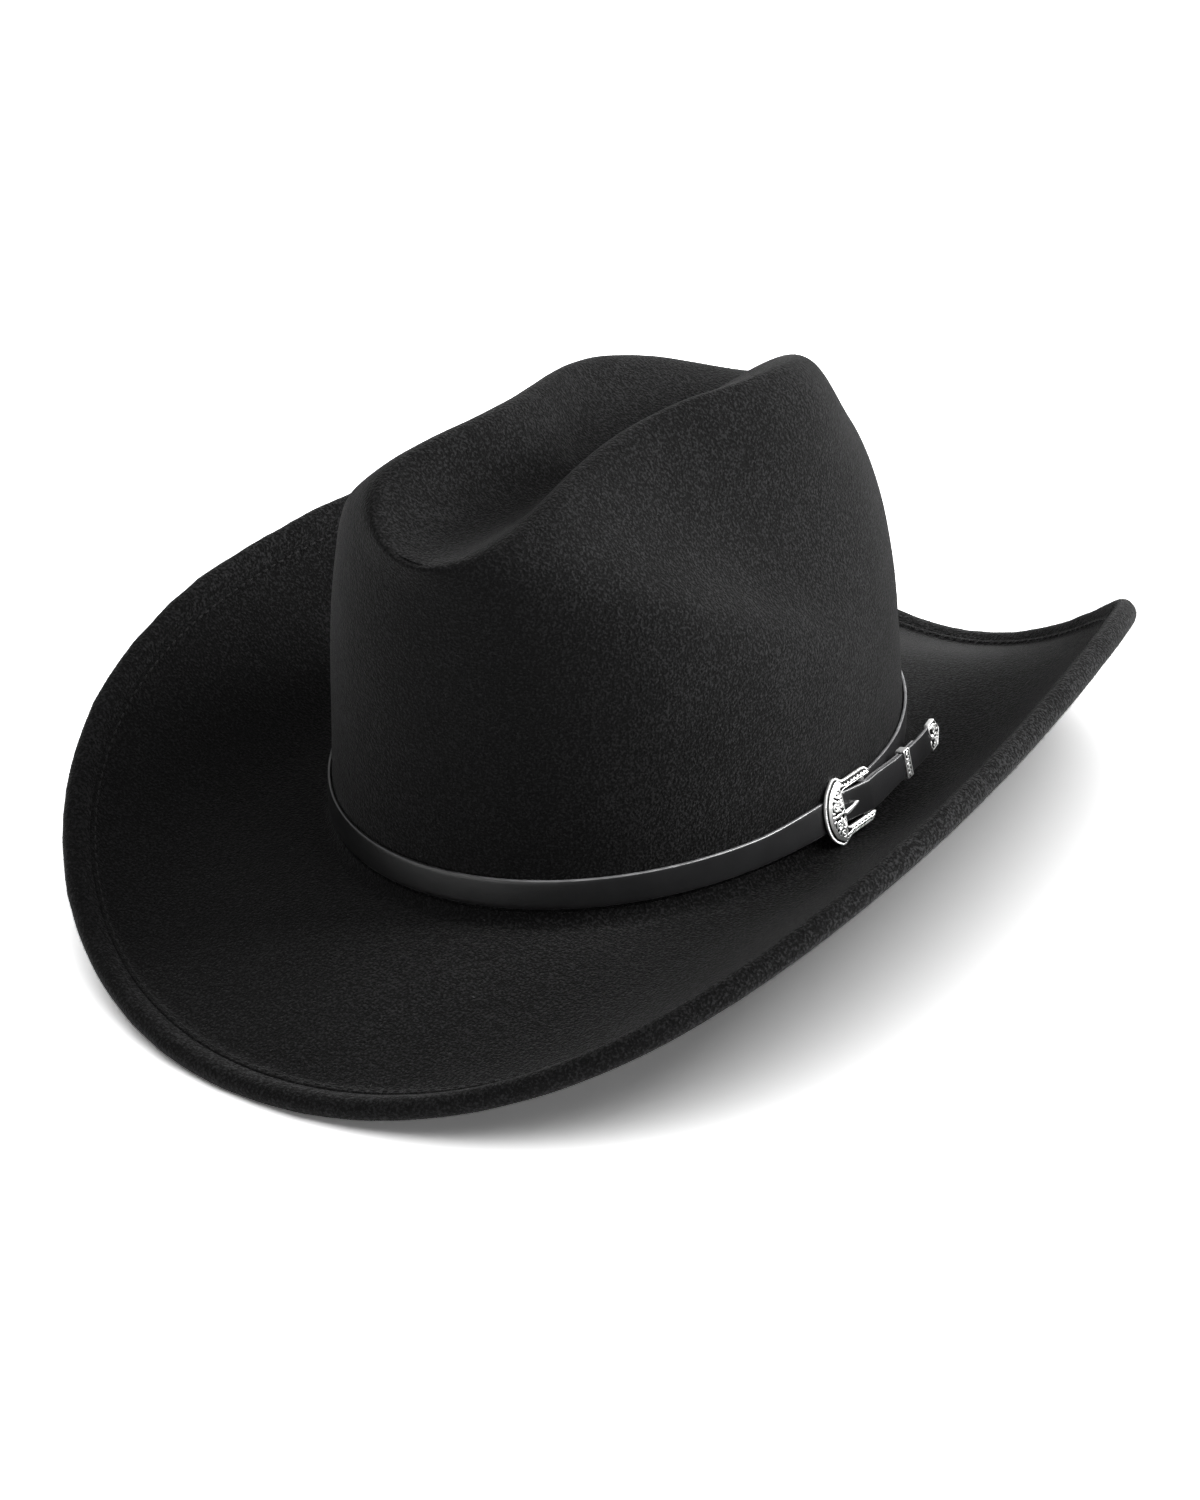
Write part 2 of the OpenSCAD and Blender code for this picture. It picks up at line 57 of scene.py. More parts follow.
# The hat's own sizes in millimetres, the same as in the part's source.
# Lists of stations run evenly from the front to the back and are mirrored on both sides.
hat = dict(
    crownLength=105.5, crownWidth=82, crownHeight=142.5, breakHeight=25, feltThickness=2.5,
    crestLean=3.5, crestTwist=5, shoulderTwist=5,
    brimFront=189, brimBack=171, brimSide=146, curlHeight=69,
    hemWidth=4.5, hemThickness=3.4,
    strapWidth=10, tailWidth=8.2, strapThickness=1, strapLift=10.4, tailLength=46, foldLength=31,
    barAngle=98, lean=12, barRadius=0.8, gap=0.3, slip=0.15,
)
crownY = (hat["brimFront"] - hat["brimBack"]) / 2


# ---- small helpers ----
def unit(v):
    v = np.asarray(v, float)
    return v / np.maximum(np.linalg.norm(v, axis=-1, keepdims=True), 1e-12)


def ease(t):
    t = np.clip(t, 0, 1)
    return t * t * (3 - 2 * t)


def turnedRight(v):
    return np.stack([v[..., 1], -v[..., 0]], -1)


def squared(v, power):  # makes a circle's sine or cosine fuller
    return copysign(abs(v) ** power, v)


def relaxed(line, passes):  # rounds the corners and holds both ends
    for _ in range(passes):
        line[1:-1] = line[1:-1] * 0.5 + (line[2:] + line[:-2]) * 0.25
    return line


def station(values, phi):  # a smooth value through the stations, phi in radians from the front
    values = np.asarray(values, float)
    n = len(values) - 1
    ends = np.ones(n + 1)
    ends[[0, -1]] = 0.5
    k = np.arange(n + 1)
    weights = 2 / n * ends * (np.cos(np.outer(k, k) * pi / n) @ (ends * values))
    return np.cos(np.outer(np.atleast_1d(phi), k)) @ weights


def outDir(phi):
    return unit(np.stack([np.sin(phi) / hat["crownWidth"], -np.cos(phi) / hat["crownLength"]], -1))


def oval(phi, off=0.0):
    base = np.stack([hat["crownWidth"] * np.sin(phi), -hat["crownLength"] * np.cos(phi)], -1)
    return base + np.asarray(off, float)[..., None] * outDir(phi)


def atHeight(xy, z):
    return np.concatenate([xy, np.broadcast_to(np.asarray(z, float)[..., None], xy.shape[:-1] + (1,))], -1)


def ovalRing(phi, off, z):
    return atHeight(oval(phi, off), z)


def around(count):
    return np.arange(count) * 2 * pi / count


def toHat(grid):  # crown-centred millimetres to the hat's frame
    return np.asarray(grid, float) + [0, crownY, 0]


def gridNormals(grid):  # rows x columns, closed round the columns
    along = np.roll(grid, -1, 1) - np.roll(grid, 1, 1)
    across = np.empty_like(grid)
    across[1:-1] = grid[2:] - grid[:-2]
    across[0], across[-1] = grid[1] - grid[0], grid[-1] - grid[-2]
    return unit(np.cross(along, across))


def softNoise(points, size, seed=0.0, layers=2):  # smooth random height, one value per point
    flat = np.asarray(points).reshape(-1, 3) / size + seed
    total, strength = np.zeros(len(flat)), 1.0
    for layer in range(layers):
        total += strength * np.array([noise.noise(Vector(p)) for p in flat * 2 ** layer])
        strength *= 0.5
    return total.reshape(np.asarray(points).shape[:-1])


def newObject(name, data):
    obj = bpy.data.objects.new(name, data)
    bpy.context.scene.collection.objects.link(obj)
    return obj


def signedVolume(mesh):
    mesh.calc_loop_triangles()
    points = np.empty(len(mesh.vertices) * 3)
    mesh.vertices.foreach_get("co", points)
    tris = np.empty(len(mesh.loop_triangles) * 3, int)
    mesh.loop_triangles.foreach_get("vertices", tris)
    a, b, c = points.reshape(-1, 3)[tris.reshape(-1, 3).T]
    return float(np.einsum("ij,ij->", a, np.cross(b, c)) / 6)


class Shell:
    # Collects points and faces in millimetres, then makes one mesh object in metres.
    def __init__(self):
        self.points, self.faces, self.count, self.marks = [], [], 0, {}

    def add(self, grid, **marks):
        grid = np.asarray(grid, float)
        ids = np.arange(self.count, self.count + grid[..., 0].size).reshape(grid.shape[:-1])
        self.points.append(grid.reshape(-1, 3))
        self.count += ids.size
        for name, values in marks.items():
            self.marks.setdefault(name, []).append((ids.ravel(), np.broadcast_to(values, ids.shape).ravel()))
        return ids

    def cap(self, row, flip=False):
        self.faces.append(tuple(row[::-1]) if flip else tuple(row))

    def strip(self, a, b, closed=True, flip=False):  # faces between two rows of point numbers
        n = len(a)
        for j in range(n if closed else n - 1):
            k = (j + 1) % n
            self.cap((a[j], a[k], b[k], b[j]), flip)

    def skin(self, ids, closed=True, flip=False):
        for a, b in zip(ids[:-1], ids[1:]):
            self.strip(a, b, closed, flip)

    def ring(self, ids):  # rows that close on themselves both ways
        self.skin(ids)
        self.strip(ids[-1], ids[0])

    def tube(self, ids):  # rows round a rod, with both ends closed
        self.skin(ids)
        self.cap(ids[0], flip=True)
        self.cap(ids[-1])

    def fan(self, row, tip, flip=False):
        for j in range(len(row)):
            self.cap((row[j], row[(j + 1) % len(row)], tip), flip)

    def make(self, name, material, smooth=True):
        mesh = bpy.data.meshes.new(name)
        points = np.concatenate(self.points) * 0.001
        mesh.from_pydata(points.tolist(), [], [tuple(int(i) for i in f) for f in self.faces])
        for mark, parts in self.marks.items():
            values = np.zeros(len(points), np.float32)
            for ids, v in parts:
                values[ids] = v
            mesh.attributes.new(mark, "FLOAT", "POINT").data.foreach_set("value", values)
        mesh.validate()
        mesh.update()
        if signedVolume(mesh) < 0:
            mesh.flip_normals()
        mesh.polygons.foreach_set("use_smooth", [smooth] * len(mesh.polygons))
        mesh.materials.append(material)
        return newObject(name, mesh)


def finishPiece(obj, body, slot, *nodes):
    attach(obj, body)
    if nodes:
        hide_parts(*nodes)
    return obj


# ---- materials ----
shaderSockets = dict(
    colour="Base Color", roughness="Roughness", specular="Specular IOR Level", metallic="Metallic",
    sheen="Sheen Weight", sheenRoughness="Sheen Roughness", coat="Coat Weight", coatRoughness="Coat Roughness",
    glowColour="Emission Color",
)


def addNode(tree, kind, sockets=None, **settings):
    made = tree.nodes.new(kind)
    for key, value in settings.items():
        setattr(made, key, value)
    for key, value in (sockets or {}).items():
        if isinstance(value, bpy.types.NodeSocket):
            tree.links.new(value, made.inputs[key])
        else:
            made.inputs[key].default_value = value
    return made


def result(tree, kind, sockets=None, slot=0, **settings):
    return addNode(tree, kind, sockets, **settings).outputs[slot]


def newMaterial(name, **values):
    material = bpy.data.materials.new(name)
    material.use_nodes = True
    tree = material.node_tree
    shader = tree.nodes["Principled BSDF"]
    for key, value in values.items():
        shader.inputs[shaderSockets[key]].default_value = value
    return material, tree, shader, result(tree, "ShaderNodeTexCoord", slot="Object")


def noiseAt(tree, place, scale, detail=2.0, roughness=0.5, distortion=0.0):
    return result(tree, "ShaderNodeTexNoise", {
        "Vector": place, "Scale": scale, "Detail": detail, "Roughness": roughness, "Distortion": distortion,
    }, "Fac")


def ridges(tree, place, scale, distortion, direction):
    return result(tree, "ShaderNodeTexWave", {"Vector": place, "Scale": scale, "Distortion": distortion, "Detail": 1.0},
                  "Fac", bands_direction=direction)


def ramp(tree, factor, *stops):
    made = addNode(tree, "ShaderNodeValToRGB", {"Fac": factor})
    points = made.color_ramp.elements
    while len(points) < len(stops):
        points.new(0.5)
    for point, (position, colour) in zip(points, stops):
        point.position = position
        point.color = (*colour, 1)
    return made.outputs["Color"]


def grey(v):
    return (v, v, v * 1.03)


def pairMath(tree, kind, a, b):
    return result(tree, "ShaderNodeMath", {0: a, 1: b}, operation=kind)


def plus(tree, a, b):
    return pairMath(tree, "ADD", a, b)


def times(tree, a, b):
    return pairMath(tree, "MULTIPLY", a, b)


def most(tree, *values):
    highest = values[0]
    for value in values[1:]:
        highest = pairMath(tree, "MAXIMUM", highest, value)
    return highest


def varied(tree, value, amount):  # a noise's distance from its middle
    return times(tree, pairMath(tree, "SUBTRACT", value, 0.5), amount)


def spread(tree, value, low, high, **more):
    return result(tree, "ShaderNodeMapRange", {"Value": value, "To Min": low, "To Max": high}, **more)


def blend(tree, share, a, b):
    return result(tree, "ShaderNodeMix", {0: share, 6: a, 7: b}, 2, data_type="RGBA")


def mark(tree, name):
    return result(tree, "ShaderNodeAttribute", slot="Fac", attribute_name=name)


def dress(tree, shader, colour, roughness=None):
    tree.links.new(colour, shader.inputs["Base Color"])
    if roughness:
        tree.links.new(roughness, shader.inputs["Roughness"])


def bumps(tree, shader, *layers):  # (height socket, strength, distance in metres)
    normal = None
    for height, strength, distance in layers:
        bump = addNode(tree, "ShaderNodeBump", {"Height": height, "Strength": strength, "Distance": distance})
        if normal:
            tree.links.new(normal, bump.inputs["Normal"])
        normal = bump.outputs["Normal"]
    tree.links.new(normal, shader.inputs["Normal"])


feltLook = dict(
    fibreScale=1180, pileScale=430, patchScale=30, pileShare=0.14, patchShare=0.16, depth=0.0006,
    stops=((0.38, 0.0003), (0.5, 0.006), (0.63, 0.036)),  # noise and shade
    sheen=0.17, sheenRoughness=0.42,
)


def feltMaterial(name, coarse=1.0, paler=1.0):
    f = feltLook
    material, tree, shader, place = newMaterial(
        name, roughness=0.93, specular=0.2, sheen=f["sheen"], sheenRoughness=f["sheenRoughness"])
    fibre = noiseAt(tree, place, f["fibreScale"] / coarse, 2, 0.5, 0.2)
    pile = noiseAt(tree, place, f["pileScale"] / coarse, 2, 0.6, 0.6)
    patch = noiseAt(tree, place, f["patchScale"], 4, 0.6)
    mix = plus(tree, times(tree, fibre, 1 - f["pileShare"]), times(tree, pile, f["pileShare"]))
    mix = plus(tree, mix, varied(tree, patch, f["patchShare"]))
    dress(tree, shader, ramp(tree, mix, *((at, grey(shade * paler)) for at, shade in f["stops"])))
    bumps(tree, shader, (pile, 0.35, f["depth"] * 1.4), (fibre, 1.0, f["depth"]))
    return material


def leatherMaterial(name, colour, roughness, grain, depth, edge=None):
    material, tree, shader, place = newMaterial(name, specular=0.5, coat=0.25, coatRoughness=0.22)
    cells = result(tree, "ShaderNodeTexVoronoi", {"Vector": place, "Scale": grain, "Randomness": 1.0}, "Distance",
                   feature="DISTANCE_TO_EDGE")
    fine = noiseAt(tree, place, grain * 1.7, 2)
    cloud = noiseAt(tree, place, 60, 3)
    tone = ramp(tree, cloud, *((at, tuple(c * share for c in colour)) for at, share in ((0.3, 0.7), (0.7, 1.4))))
    if edge:  # painted highlight: the rounded cut edges are painted a lighter grey, broken up by noise, where light would catch them
        lighterShare = times(tree, pairMath(tree, "POWER", mark(tree, "edge"), 3.0), noiseAt(tree, place, 240, 3))
        tone = blend(tree, lighterShare, tone, (*edge, 1))
    dress(tree, shader, tone, spread(tree, fine, roughness - 0.07, roughness + 0.09))
    creases = ramp(tree, cells, (0.0, (0, 0, 0)), (0.12, (1, 1, 1)))
    bumps(tree, shader, (creases, 0.35, depth), (fine, 0.25, depth * 0.6))
    return material


def silverMaterial(name, worked=False):
    # worn plate, with dark old finish left in the recesses of worked pieces
    material, tree, shader, place = newMaterial(name, metallic=1.0)
    haze = noiseAt(tree, place, 320, 3)
    stretched = result(tree, "ShaderNodeMapping", {"Vector": place, "Scale": (1, 1, 7)})
    scratch = noiseAt(tree, stretched, 900, 2)
    bright = ramp(tree, haze, (0.3, (0.8, 0.8, 0.79)), (0.7, (0.95, 0.95, 0.94)))
    if worked:
        height = plus(tree, mark(tree, "high"), varied(tree, haze, 0.25))
        lighterShare = ramp(tree, height, (0.2, (0, 0, 0)), (0.5, (1, 1, 1)))
        dress(tree, shader, blend(tree, lighterShare, (0.012, 0.012, 0.012, 1), bright), spread(tree, lighterShare, 0.65, 0.48))
    else:
        dress(tree, shader, bright, spread(tree, haze, 0.34, 0.52))
    bumps(tree, shader, (scratch, 0.12, 0.00005))
    return material


def threadTexture(tree, place):
    return ridges(tree, place, 900, 3.0, "DIAGONAL")


def fibreTexture(tree, place):
    return noiseAt(tree, place, 260, 2)


def wovenTexture(tree, place):
    return times(tree, ridges(tree, place, 420, 0.4, "Z"), ridges(tree, place, 300, 0.4, "X"))


def clothMaterial(name, shade, texture, stops, look, bump=None):
    # stops are (place, share of the shade); look is roughness, specular and sheen; bump is strength and distance
    roughness, specular, sheen = look
    material, tree, shader, place = newMaterial(
        name, roughness=roughness, specular=specular, sheen=sheen, sheenRoughness=0.4)
    height = texture(tree, place)
    dress(tree, shader, ramp(tree, height, *((at, grey(shade * share)) for at, share in stops)))
    if bump:
        bumps(tree, shader, (height, *bump))
    return material


felt = feltMaterial("blackFelt")
# the hem is the same felt painted 1.45 times paler: a painted sheen for its fuzzier folded edge
hemFelt = feltMaterial("hemFelt", 1.08, 1.45)
# the strap leather's last colour is the painted highlight on its cut edges
strapLeather = leatherMaterial("glossyStrapLeather", (0.009, 0.009, 0.0095), 0.36, 1300, 0.00006, (0.19, 0.19, 0.195))
bandLeather = leatherMaterial("sweatbandLeather", (0.016, 0.014, 0.013), 0.5, 900, 0.0001)
reedVinyl = leatherMaterial("reedVinyl", (0.012, 0.011, 0.011), 0.42, 1500, 0.00004)
engravedSilver = silverMaterial("engravedSilver", worked=True)
plainSilver = silverMaterial("plainSilver")
thread = dict(texture=threadTexture, stops=((0, 0.5), (1, 1.5)), look=(0.6, 0.35, 0.3), bump=(0.6, 0.0001))
fibre = dict(texture=fibreTexture, stops=((0.3, 0.5), (0.7, 1.8)), look=(0.7, 0.3, 0.2))
woven = dict(texture=wovenTexture, stops=((0.1, 0.5), (0.8, 1.5)), look=(0.75, 0.3, 0.15), bump=(0.5, 0.00012))
hemThread = clothMaterial("hemThread", 0.011, **thread)
bandThread = clothMaterial("bandThread", 0.03, **thread)
fuzzFelt = clothMaterial("looseFelt", 0.012, **fibre)
lintFibre = clothMaterial("lintFibre", 0.3, **fibre)
tapeWeave = clothMaterial("tapeWeave", 0.011, **woven)
print("materials ready")


# ---- camera ----
cameraView = dict(
    azimuth=37.748, elevation=28.102, roll=-0.766, distance=1.6138, target=(0, crownY / 1000, 0.0509),
    lens=121.25, shiftX=-0.01357, shiftY=-0.03552, near=0.05, far=30,
)


def placeCamera(v):
    a, e, r = (radians(v[k]) for k in ("azimuth", "elevation", "roll"))
    back = Vector((sin(a) * cos(e), -cos(a) * cos(e), sin(e)))
    level = Vector((cos(a), sin(a), 0))
    right = cos(r) * level + sin(r) * back.cross(level)
    data = bpy.data.cameras.new("camera")
    data.lens, data.shift_x, data.shift_y = v["lens"], v["shiftX"], v["shiftY"]
    data.clip_start, data.clip_end = v["near"], v["far"]
    camera = newObject("camera", data)
    spot = Vector(v["target"]) + back * v["distance"]
    camera.matrix_world = Matrix.Translation(spot) @ Matrix((right, back.cross(right), back)).transposed().to_4x4()
    bpy.context.scene.camera = camera


placeCamera(cameraView)


# ---- crown ----
crownDetail = dict(
    columns=288, rowsPerSpan=11, innerRowsPerSpan=6, wall=17, wallFade=18,
    # stations, as shares of the crown's size
    shoulderSize=(0.98, 0.963, 0.95, 0.955, 0.957), shoulderHeight=(0.715, 0.715, 0.50, 0.41, 0.66),
    sag=(0.035, 0.02, -0.085, 0.028, 0.01), crestOut=(0.495, 0.40, 0.325, 0.52, 0.36),
    crestHeight=(0.831, 0.932, 1, 0.938, 0.80),
    crestShift=2.3, crestBack=0.155, crestReach=0.875, poleBack=0.187, poleHeight=0.79,
    lipHeight=92, lipSpan=14, lipPasses=26, softness=0.35,
    dents=(  # where handling has pushed the felt: angle, its spread, height, its spread, millimetres out
        (128, 32, 128, 42, 1.9), (112, 34, 146, 13, 1.8), (125, 40, 167, 8, -2.6), (215, 26, 162, 12, -2.4),
        (308, 26, 133, 24, -1.3),
    ),
)


def crownLoops(phi, d):
    # control loops from the brim up over the crest and down to the bottom of the crease
    h, a, b, z0 = hat["crownHeight"], hat["crownLength"], hat["crownWidth"], hat["breakHeight"]
    size = station(d["shoulderSize"], phi)
    shoulderHeight, sag, crestHeight = (h * station(d[k], phi) for k in ("shoulderHeight", "sag", "crestHeight"))
    once, twice = np.sin(phi), np.sin(2 * phi)

    def level(k, height):
        return atHeight(np.asarray(k, float)[..., None] * oval(phi), z0 + height)

    shoulder = level(size, shoulderHeight + hat["crestLean"] / 2 * once - hat["shoulderTwist"] * twice)
    crest = np.stack([
        b * station(d["crestOut"], phi) * once + d["crestShift"],
        -d["crestBack"] * a - d["crestReach"] * a * np.cos(phi),
        z0 + crestHeight + (hat["crestLean"] * once - hat["crestTwist"] * twice),
    ], -1)
    pole = np.array([0, -d["poleBack"] * a, z0 + d["poleHeight"] * h])

    def between(p, q, f, drop=0.0):
        mix = p * (1 - f) + q * f
        mix[:, 2] += 4 * drop * f * (1 - f)
        return mix

    def bowl(f):  # the crease is rounded at its bottom
        loop = between(pole, crest, f)
        loop[:, 2] = pole[2] + (crest[:, 2] - pole[2]) * f ** 1.5
        return loop

    wall = d["wall"]
    return np.stack([
        level(1, 0), level(1, wall), level(1 - (1 - size) * 0.35, (wall + shoulderHeight) / 2), shoulder,
        between(shoulder, crest, 0.3, sag), between(shoulder, crest, 0.7, sag), crest,
        bowl(0.62), bowl(0.25), np.broadcast_to(pole, crest.shape),
    ]), pole


def splineRows(loops, perSpan):
    ends = np.concatenate([[2 * loops[0] - loops[1]], loops, [2 * loops[-1] - loops[-2]]])
    rows = []
    for i in range(len(ends) - 3):
        for k in range(perSpan):
            t = k / perSpan
            w = np.array([(1 - t) ** 3, 3 * t ** 3 - 6 * t * t + 4, -3 * t ** 3 + 3 * t * t + 3 * t + 1, t ** 3]) / 6
            rows.append(np.tensordot(w, ends[i:i + 4], 1))
    return np.array(rows)


def makeCrown(d):
    phi = around(d["columns"])
    loops, pole = crownLoops(phi, d)
    outer, inner = splineRows(loops, d["rowsPerSpan"]), splineRows(loops, d["innerRowsPerSpan"])
    inner = inner - hat["feltThickness"] * gridNormals(inner)
    # the lip in front of the crease is rolled, not folded
    rolled = ease((np.cos(phi) - 0.45) / 0.4) * ease((outer[..., 2] - d["lipHeight"]) / d["lipSpan"])
    for _ in range(d["lipPasses"]):
        middle = (outer[:-2] + outer[2:]) / 2
        outer[1:-1] += 0.5 * rolled[1:-1, :, None] * (middle - outer[1:-1])
    push = d["softness"] * (softNoise(outer, 38, 3.1) * 0.7 + softNoise(outer, 13, 8.2) * 0.3)
    # the wall behind the hatband stays true, and no dent reaches the pole
    clear = ease((outer[..., 2] - hat["breakHeight"] - d["wall"]) / d["wallFade"])
    rim = ease((np.linalg.norm(outer[..., :2] - pole[:2], axis=-1) - 22) / 30)
    for angle, spread, height, tall, amount in d["dents"]:
        turn = np.degrees(np.angle(np.exp(1j * (phi - radians(angle)))))
        push = push + amount * rim * np.exp(-(turn / spread) ** 2 - ((outer[..., 2] - height) / tall) ** 2)
    outer = outer + (push * clear)[..., None] * gridNormals(outer)
    shell = Shell()
    a, b, tips = (shell.add(toHat(g)) for g in (outer, inner, [pole, pole - [0, 0, hat["feltThickness"]]]))
    shell.skin(a)
    shell.skin(b, flip=True)
    shell.strip(a[0], b[0], flip=True)
    shell.fan(a[-1], tips[0])
    shell.fan(b[-1], tips[1], flip=True)
    return finishPiece(shell.make("feltCrown", felt), "hat", "felt", "crown")


crown = makeCrown(crownDetail)
print("crown done")


# ---- brim ----
brimDetail = dict(
    columns=288, rows=60, softness=0.3, swell=(1.3, 0.5, 0.12), turnRadius=5.4, turnEnd=radians(75), turnRows=8,
    # stations: the slope where the brim leaves the crown, and at its edge
    slopeIn=(-0.05, -0.05, -0.05, -0.07, -0.1), slopeOut=(-0.35, 0.3, 1.1, 1, -0.3),
    # the sheet's edge tapers into the mouth of the hem: inwards from the edge line, and up
    tongue=((2.2, 0.0), (3.2, 0.6), (4.2, 1.45)), tongueUnder=((2.2, -0.35), (3.2, -0.7), (4.3, -1.3)),
)


def edgeLine(phi):
    side, front, back, curl = hat["brimSide"], hat["brimFront"], hat["brimBack"], hat["curlHeight"]
    x = np.sin(phi) * station(side * np.array([1, 1.03, 0.945, 1.19]), phi)
    y = -np.cos(phi) * station([front, front * 1.074, back * 1.152, back], phi)
    z = station([3.707, curl * 0.29, curl * 0.845, curl, curl * 0.67, 3.658], phi)
    return np.stack([x, y, z], -1)


def edgeFrame(phi):  # directions along the edge, outwards along the felt, and up from the felt
    small = radians(1)
    along = unit(edgeLine(phi + small) - edgeLine(phi - small))
    flat = unit(turnedRight(along))
    out = unit(atHeight(flat, station(brimDetail["slopeOut"], phi)))
    out = unit(out - np.sum(out * along, -1, keepdims=True) * along)
    return along, out, unit(np.cross(out, along))


def makeBrim(d):
    phi = around(d["columns"])
    gap, t, turn, z0 = hat["gap"], hat["feltThickness"], d["turnRadius"], hat["breakHeight"]
    line, (_, out, up) = edgeLine(phi), edgeFrame(phi)
    edge, base = line - (hat["hemWidth"] + gap) * out, oval(phi, gap + turn)
    reach = np.linalg.norm(edge[:, :2] - base, axis=-1)
    slopeIn, slopeOut = station(d["slopeIn"], phi), station(d["slopeOut"], phi)
    sheet = []
    for v in np.linspace(1, 0, d["rows"] + 1):
        height = z0 * (2 * v ** 3 - 3 * v * v + 1) + edge[:, 2] * (3 * v * v - 2 * v ** 3)
        height = height + reach * slopeIn * (v ** 3 - 2 * v * v + v) + reach * slopeOut * (v ** 3 - v * v)
        sheet.append(atHeight(base * (1 - v) + edge[:, :2] * v, height))
    sheet = np.array(sheet)
    under = sheet - t * gridNormals(sheet)
    soft = softNoise(sheet, 42, 5.5) * 0.7 + softNoise(sheet, 12, 1.7) * 0.25
    share = np.linspace(0, 1, d["rows"] + 1)
    calm = (ease(share / 0.1) * ease(share[::-1] / 0.12))[:, None]  # true to size at the hem and the crown
    sheet = sheet + (d["softness"] * soft * calm)[..., None] * gridNormals(sheet)
    for i, swell in enumerate(d["swell"]):  # the felt swells up to meet the hem
        sheet[i] += swell * up
    turns = [ovalRing(phi, gap + turn * (1 - sin(a)), z0 + turn * (1 - cos(a)))
             for a in np.linspace(0, d["turnEnd"], d["turnRows"] + 1)[1:]]
    lip = z0 + turn * (1 - cos(d["turnEnd"]))
    ends = [ovalRing(phi, p, z) for p, z in ((gap, lip - 0.3), (gap, z0 - gap), (-t, z0 - gap), (-t, z0 - gap - t))]
    tongue, tongueUnder = ([line - x * out + y * up for x, y in d[k]] for k in ("tongue", "tongueUnder"))
    shell = Shell()
    top = shell.add(toHat(np.concatenate([tongue, sheet, turns, ends[:3]])))
    bottom = shell.add(toHat(np.concatenate([tongueUnder, under, ends[3:]])))
    shell.skin(top)
    shell.skin(bottom, flip=True)
    shell.strip(top[0], bottom[0], flip=True)
    shell.strip(top[-1], bottom[-1])
    return finishPiece(shell.make("feltBrim", felt), "hat", "felt", "brim")


brim = makeBrim(brimDetail)
print("brim done")


# ---- folded hem round the wire ----
hemDetail = dict(
    columns=360, outer=22, bore=6, boreRadius=1.25, mouth=radians(25), softness=0.28, flatter=0.5, fuller=0.42,
    squareness=0.8, restShare=0.3,
)


def makeHem(d):
    phi = around(d["columns"])
    line, (_, out, up) = edgeLine(phi), edgeFrame(phi)
    wobble = softNoise(line, 16, 4.4, 3)
    sweep, rows = 2 * pi - 2 * d["mouth"], []
    for i in range(d["outer"]):
        a = d["mouth"] + i * sweep / (d["outer"] - 1)
        x = -hat["hemWidth"] * squared(cos(a), d["squareness"])
        y = hat["hemThickness"] * squared(sin(a), d["squareness"])
        y *= 1 - d["flatter"] * float(ease((1 - x) / 5.5)) * (y > 0)  # lower where it meets the brim
        fuller = 1 + d["fuller"] * ease((np.abs(np.sin(phi)) - 0.3) / 0.5) * (y < 0)  # rounder below, flush above
        # the underside keeps its height where it rests on the ground
        free = sin(pi * i / (d["outer"] - 1)) * (1 if sin(a) > -0.2 else d["restShare"])
        grow = d["softness"] * free * (wobble + softNoise(line + x * out + y * up, 7, 9.0, 2))
        n = unit([x / hat["hemWidth"] ** 2, y / hat["hemThickness"] ** 2])
        rows.append(line + (x + grow * n[0])[:, None] * out + (y * fuller + grow * n[1])[:, None] * up)
    for i in range(d["bore"]):
        a = 2 * pi - d["mouth"] - i * sweep / (d["bore"] - 1)
        rows.append(line - d["boreRadius"] * cos(a) * out + d["boreRadius"] * sin(a) * up)
    shell = Shell()
    shell.ring(shell.add(toHat(rows)))
    return finishPiece(shell.make("foldedHem", hemFelt), "hat", "felt", "brim_hem")


hem = makeHem(hemDetail)
print("hem done")


# ---- hatband strap ----
bar = np.array(frame["joints"][0]["pos_m"]) * 1000 - [0, crownY, 0]
localZ, localX = (unit(frame["joints"][i]["axis"]) for i in (0, 2))
localY = np.cross(localZ, localX)
strapDetail = dict(wallSteps=288, dome=0.13, corner=0.36, rise=13, lift=1.3, backCorner=0.15)
loopRadius = hat["barRadius"] + hat["slip"] + hat["strapThickness"] / 2
tailRadius = loopRadius + hat["strapThickness"] + hat["slip"]
barPhi = radians(hat["barAngle"])
mmPerRadian = float(np.linalg.norm(oval(barPhi + 0.01) - oval(barPhi - 0.01)) / 0.02)
taperStart, taperEnd, bendStart, bend = 5, 17, 24, 0.005


def local(x, y, z=0.0):
    return bar + np.multiply.outer(x, localX) + np.multiply.outer(y, localY) + np.multiply.outer(z, localZ)


def widthAt(s):
    share = np.clip((s - taperStart) / (taperEnd - taperStart), 0, 1)
    return hat["strapWidth"] + (hat["tailWidth"] - hat["strapWidth"]) * share


def tailHeight(s):
    return tailRadius - bend * max(0.0, s - bendStart) ** 2


def wallRing(phi, s):
    near = float(ease((s + 50) / 28)) if s < 0 else float(ease((40 - s) / 36))
    lean, d = radians(hat["lean"]) * near, outDir(phi)
    p = oval(phi, hat["gap"] + hat["strapThickness"] / 2 + hat["strapWidth"] / 2 * sin(lean))
    z = hat["breakHeight"] + hat["strapLift"] + strapDetail["lift"] * near
    return np.array([*p, z]), np.array([*(-d * sin(lean)), cos(lean)]), hat["strapWidth"]


def roundBar(radius, angles):
    return [(local(radius * cos(a), radius * sin(a)), localZ, hat["strapWidth"]) for a in angles]


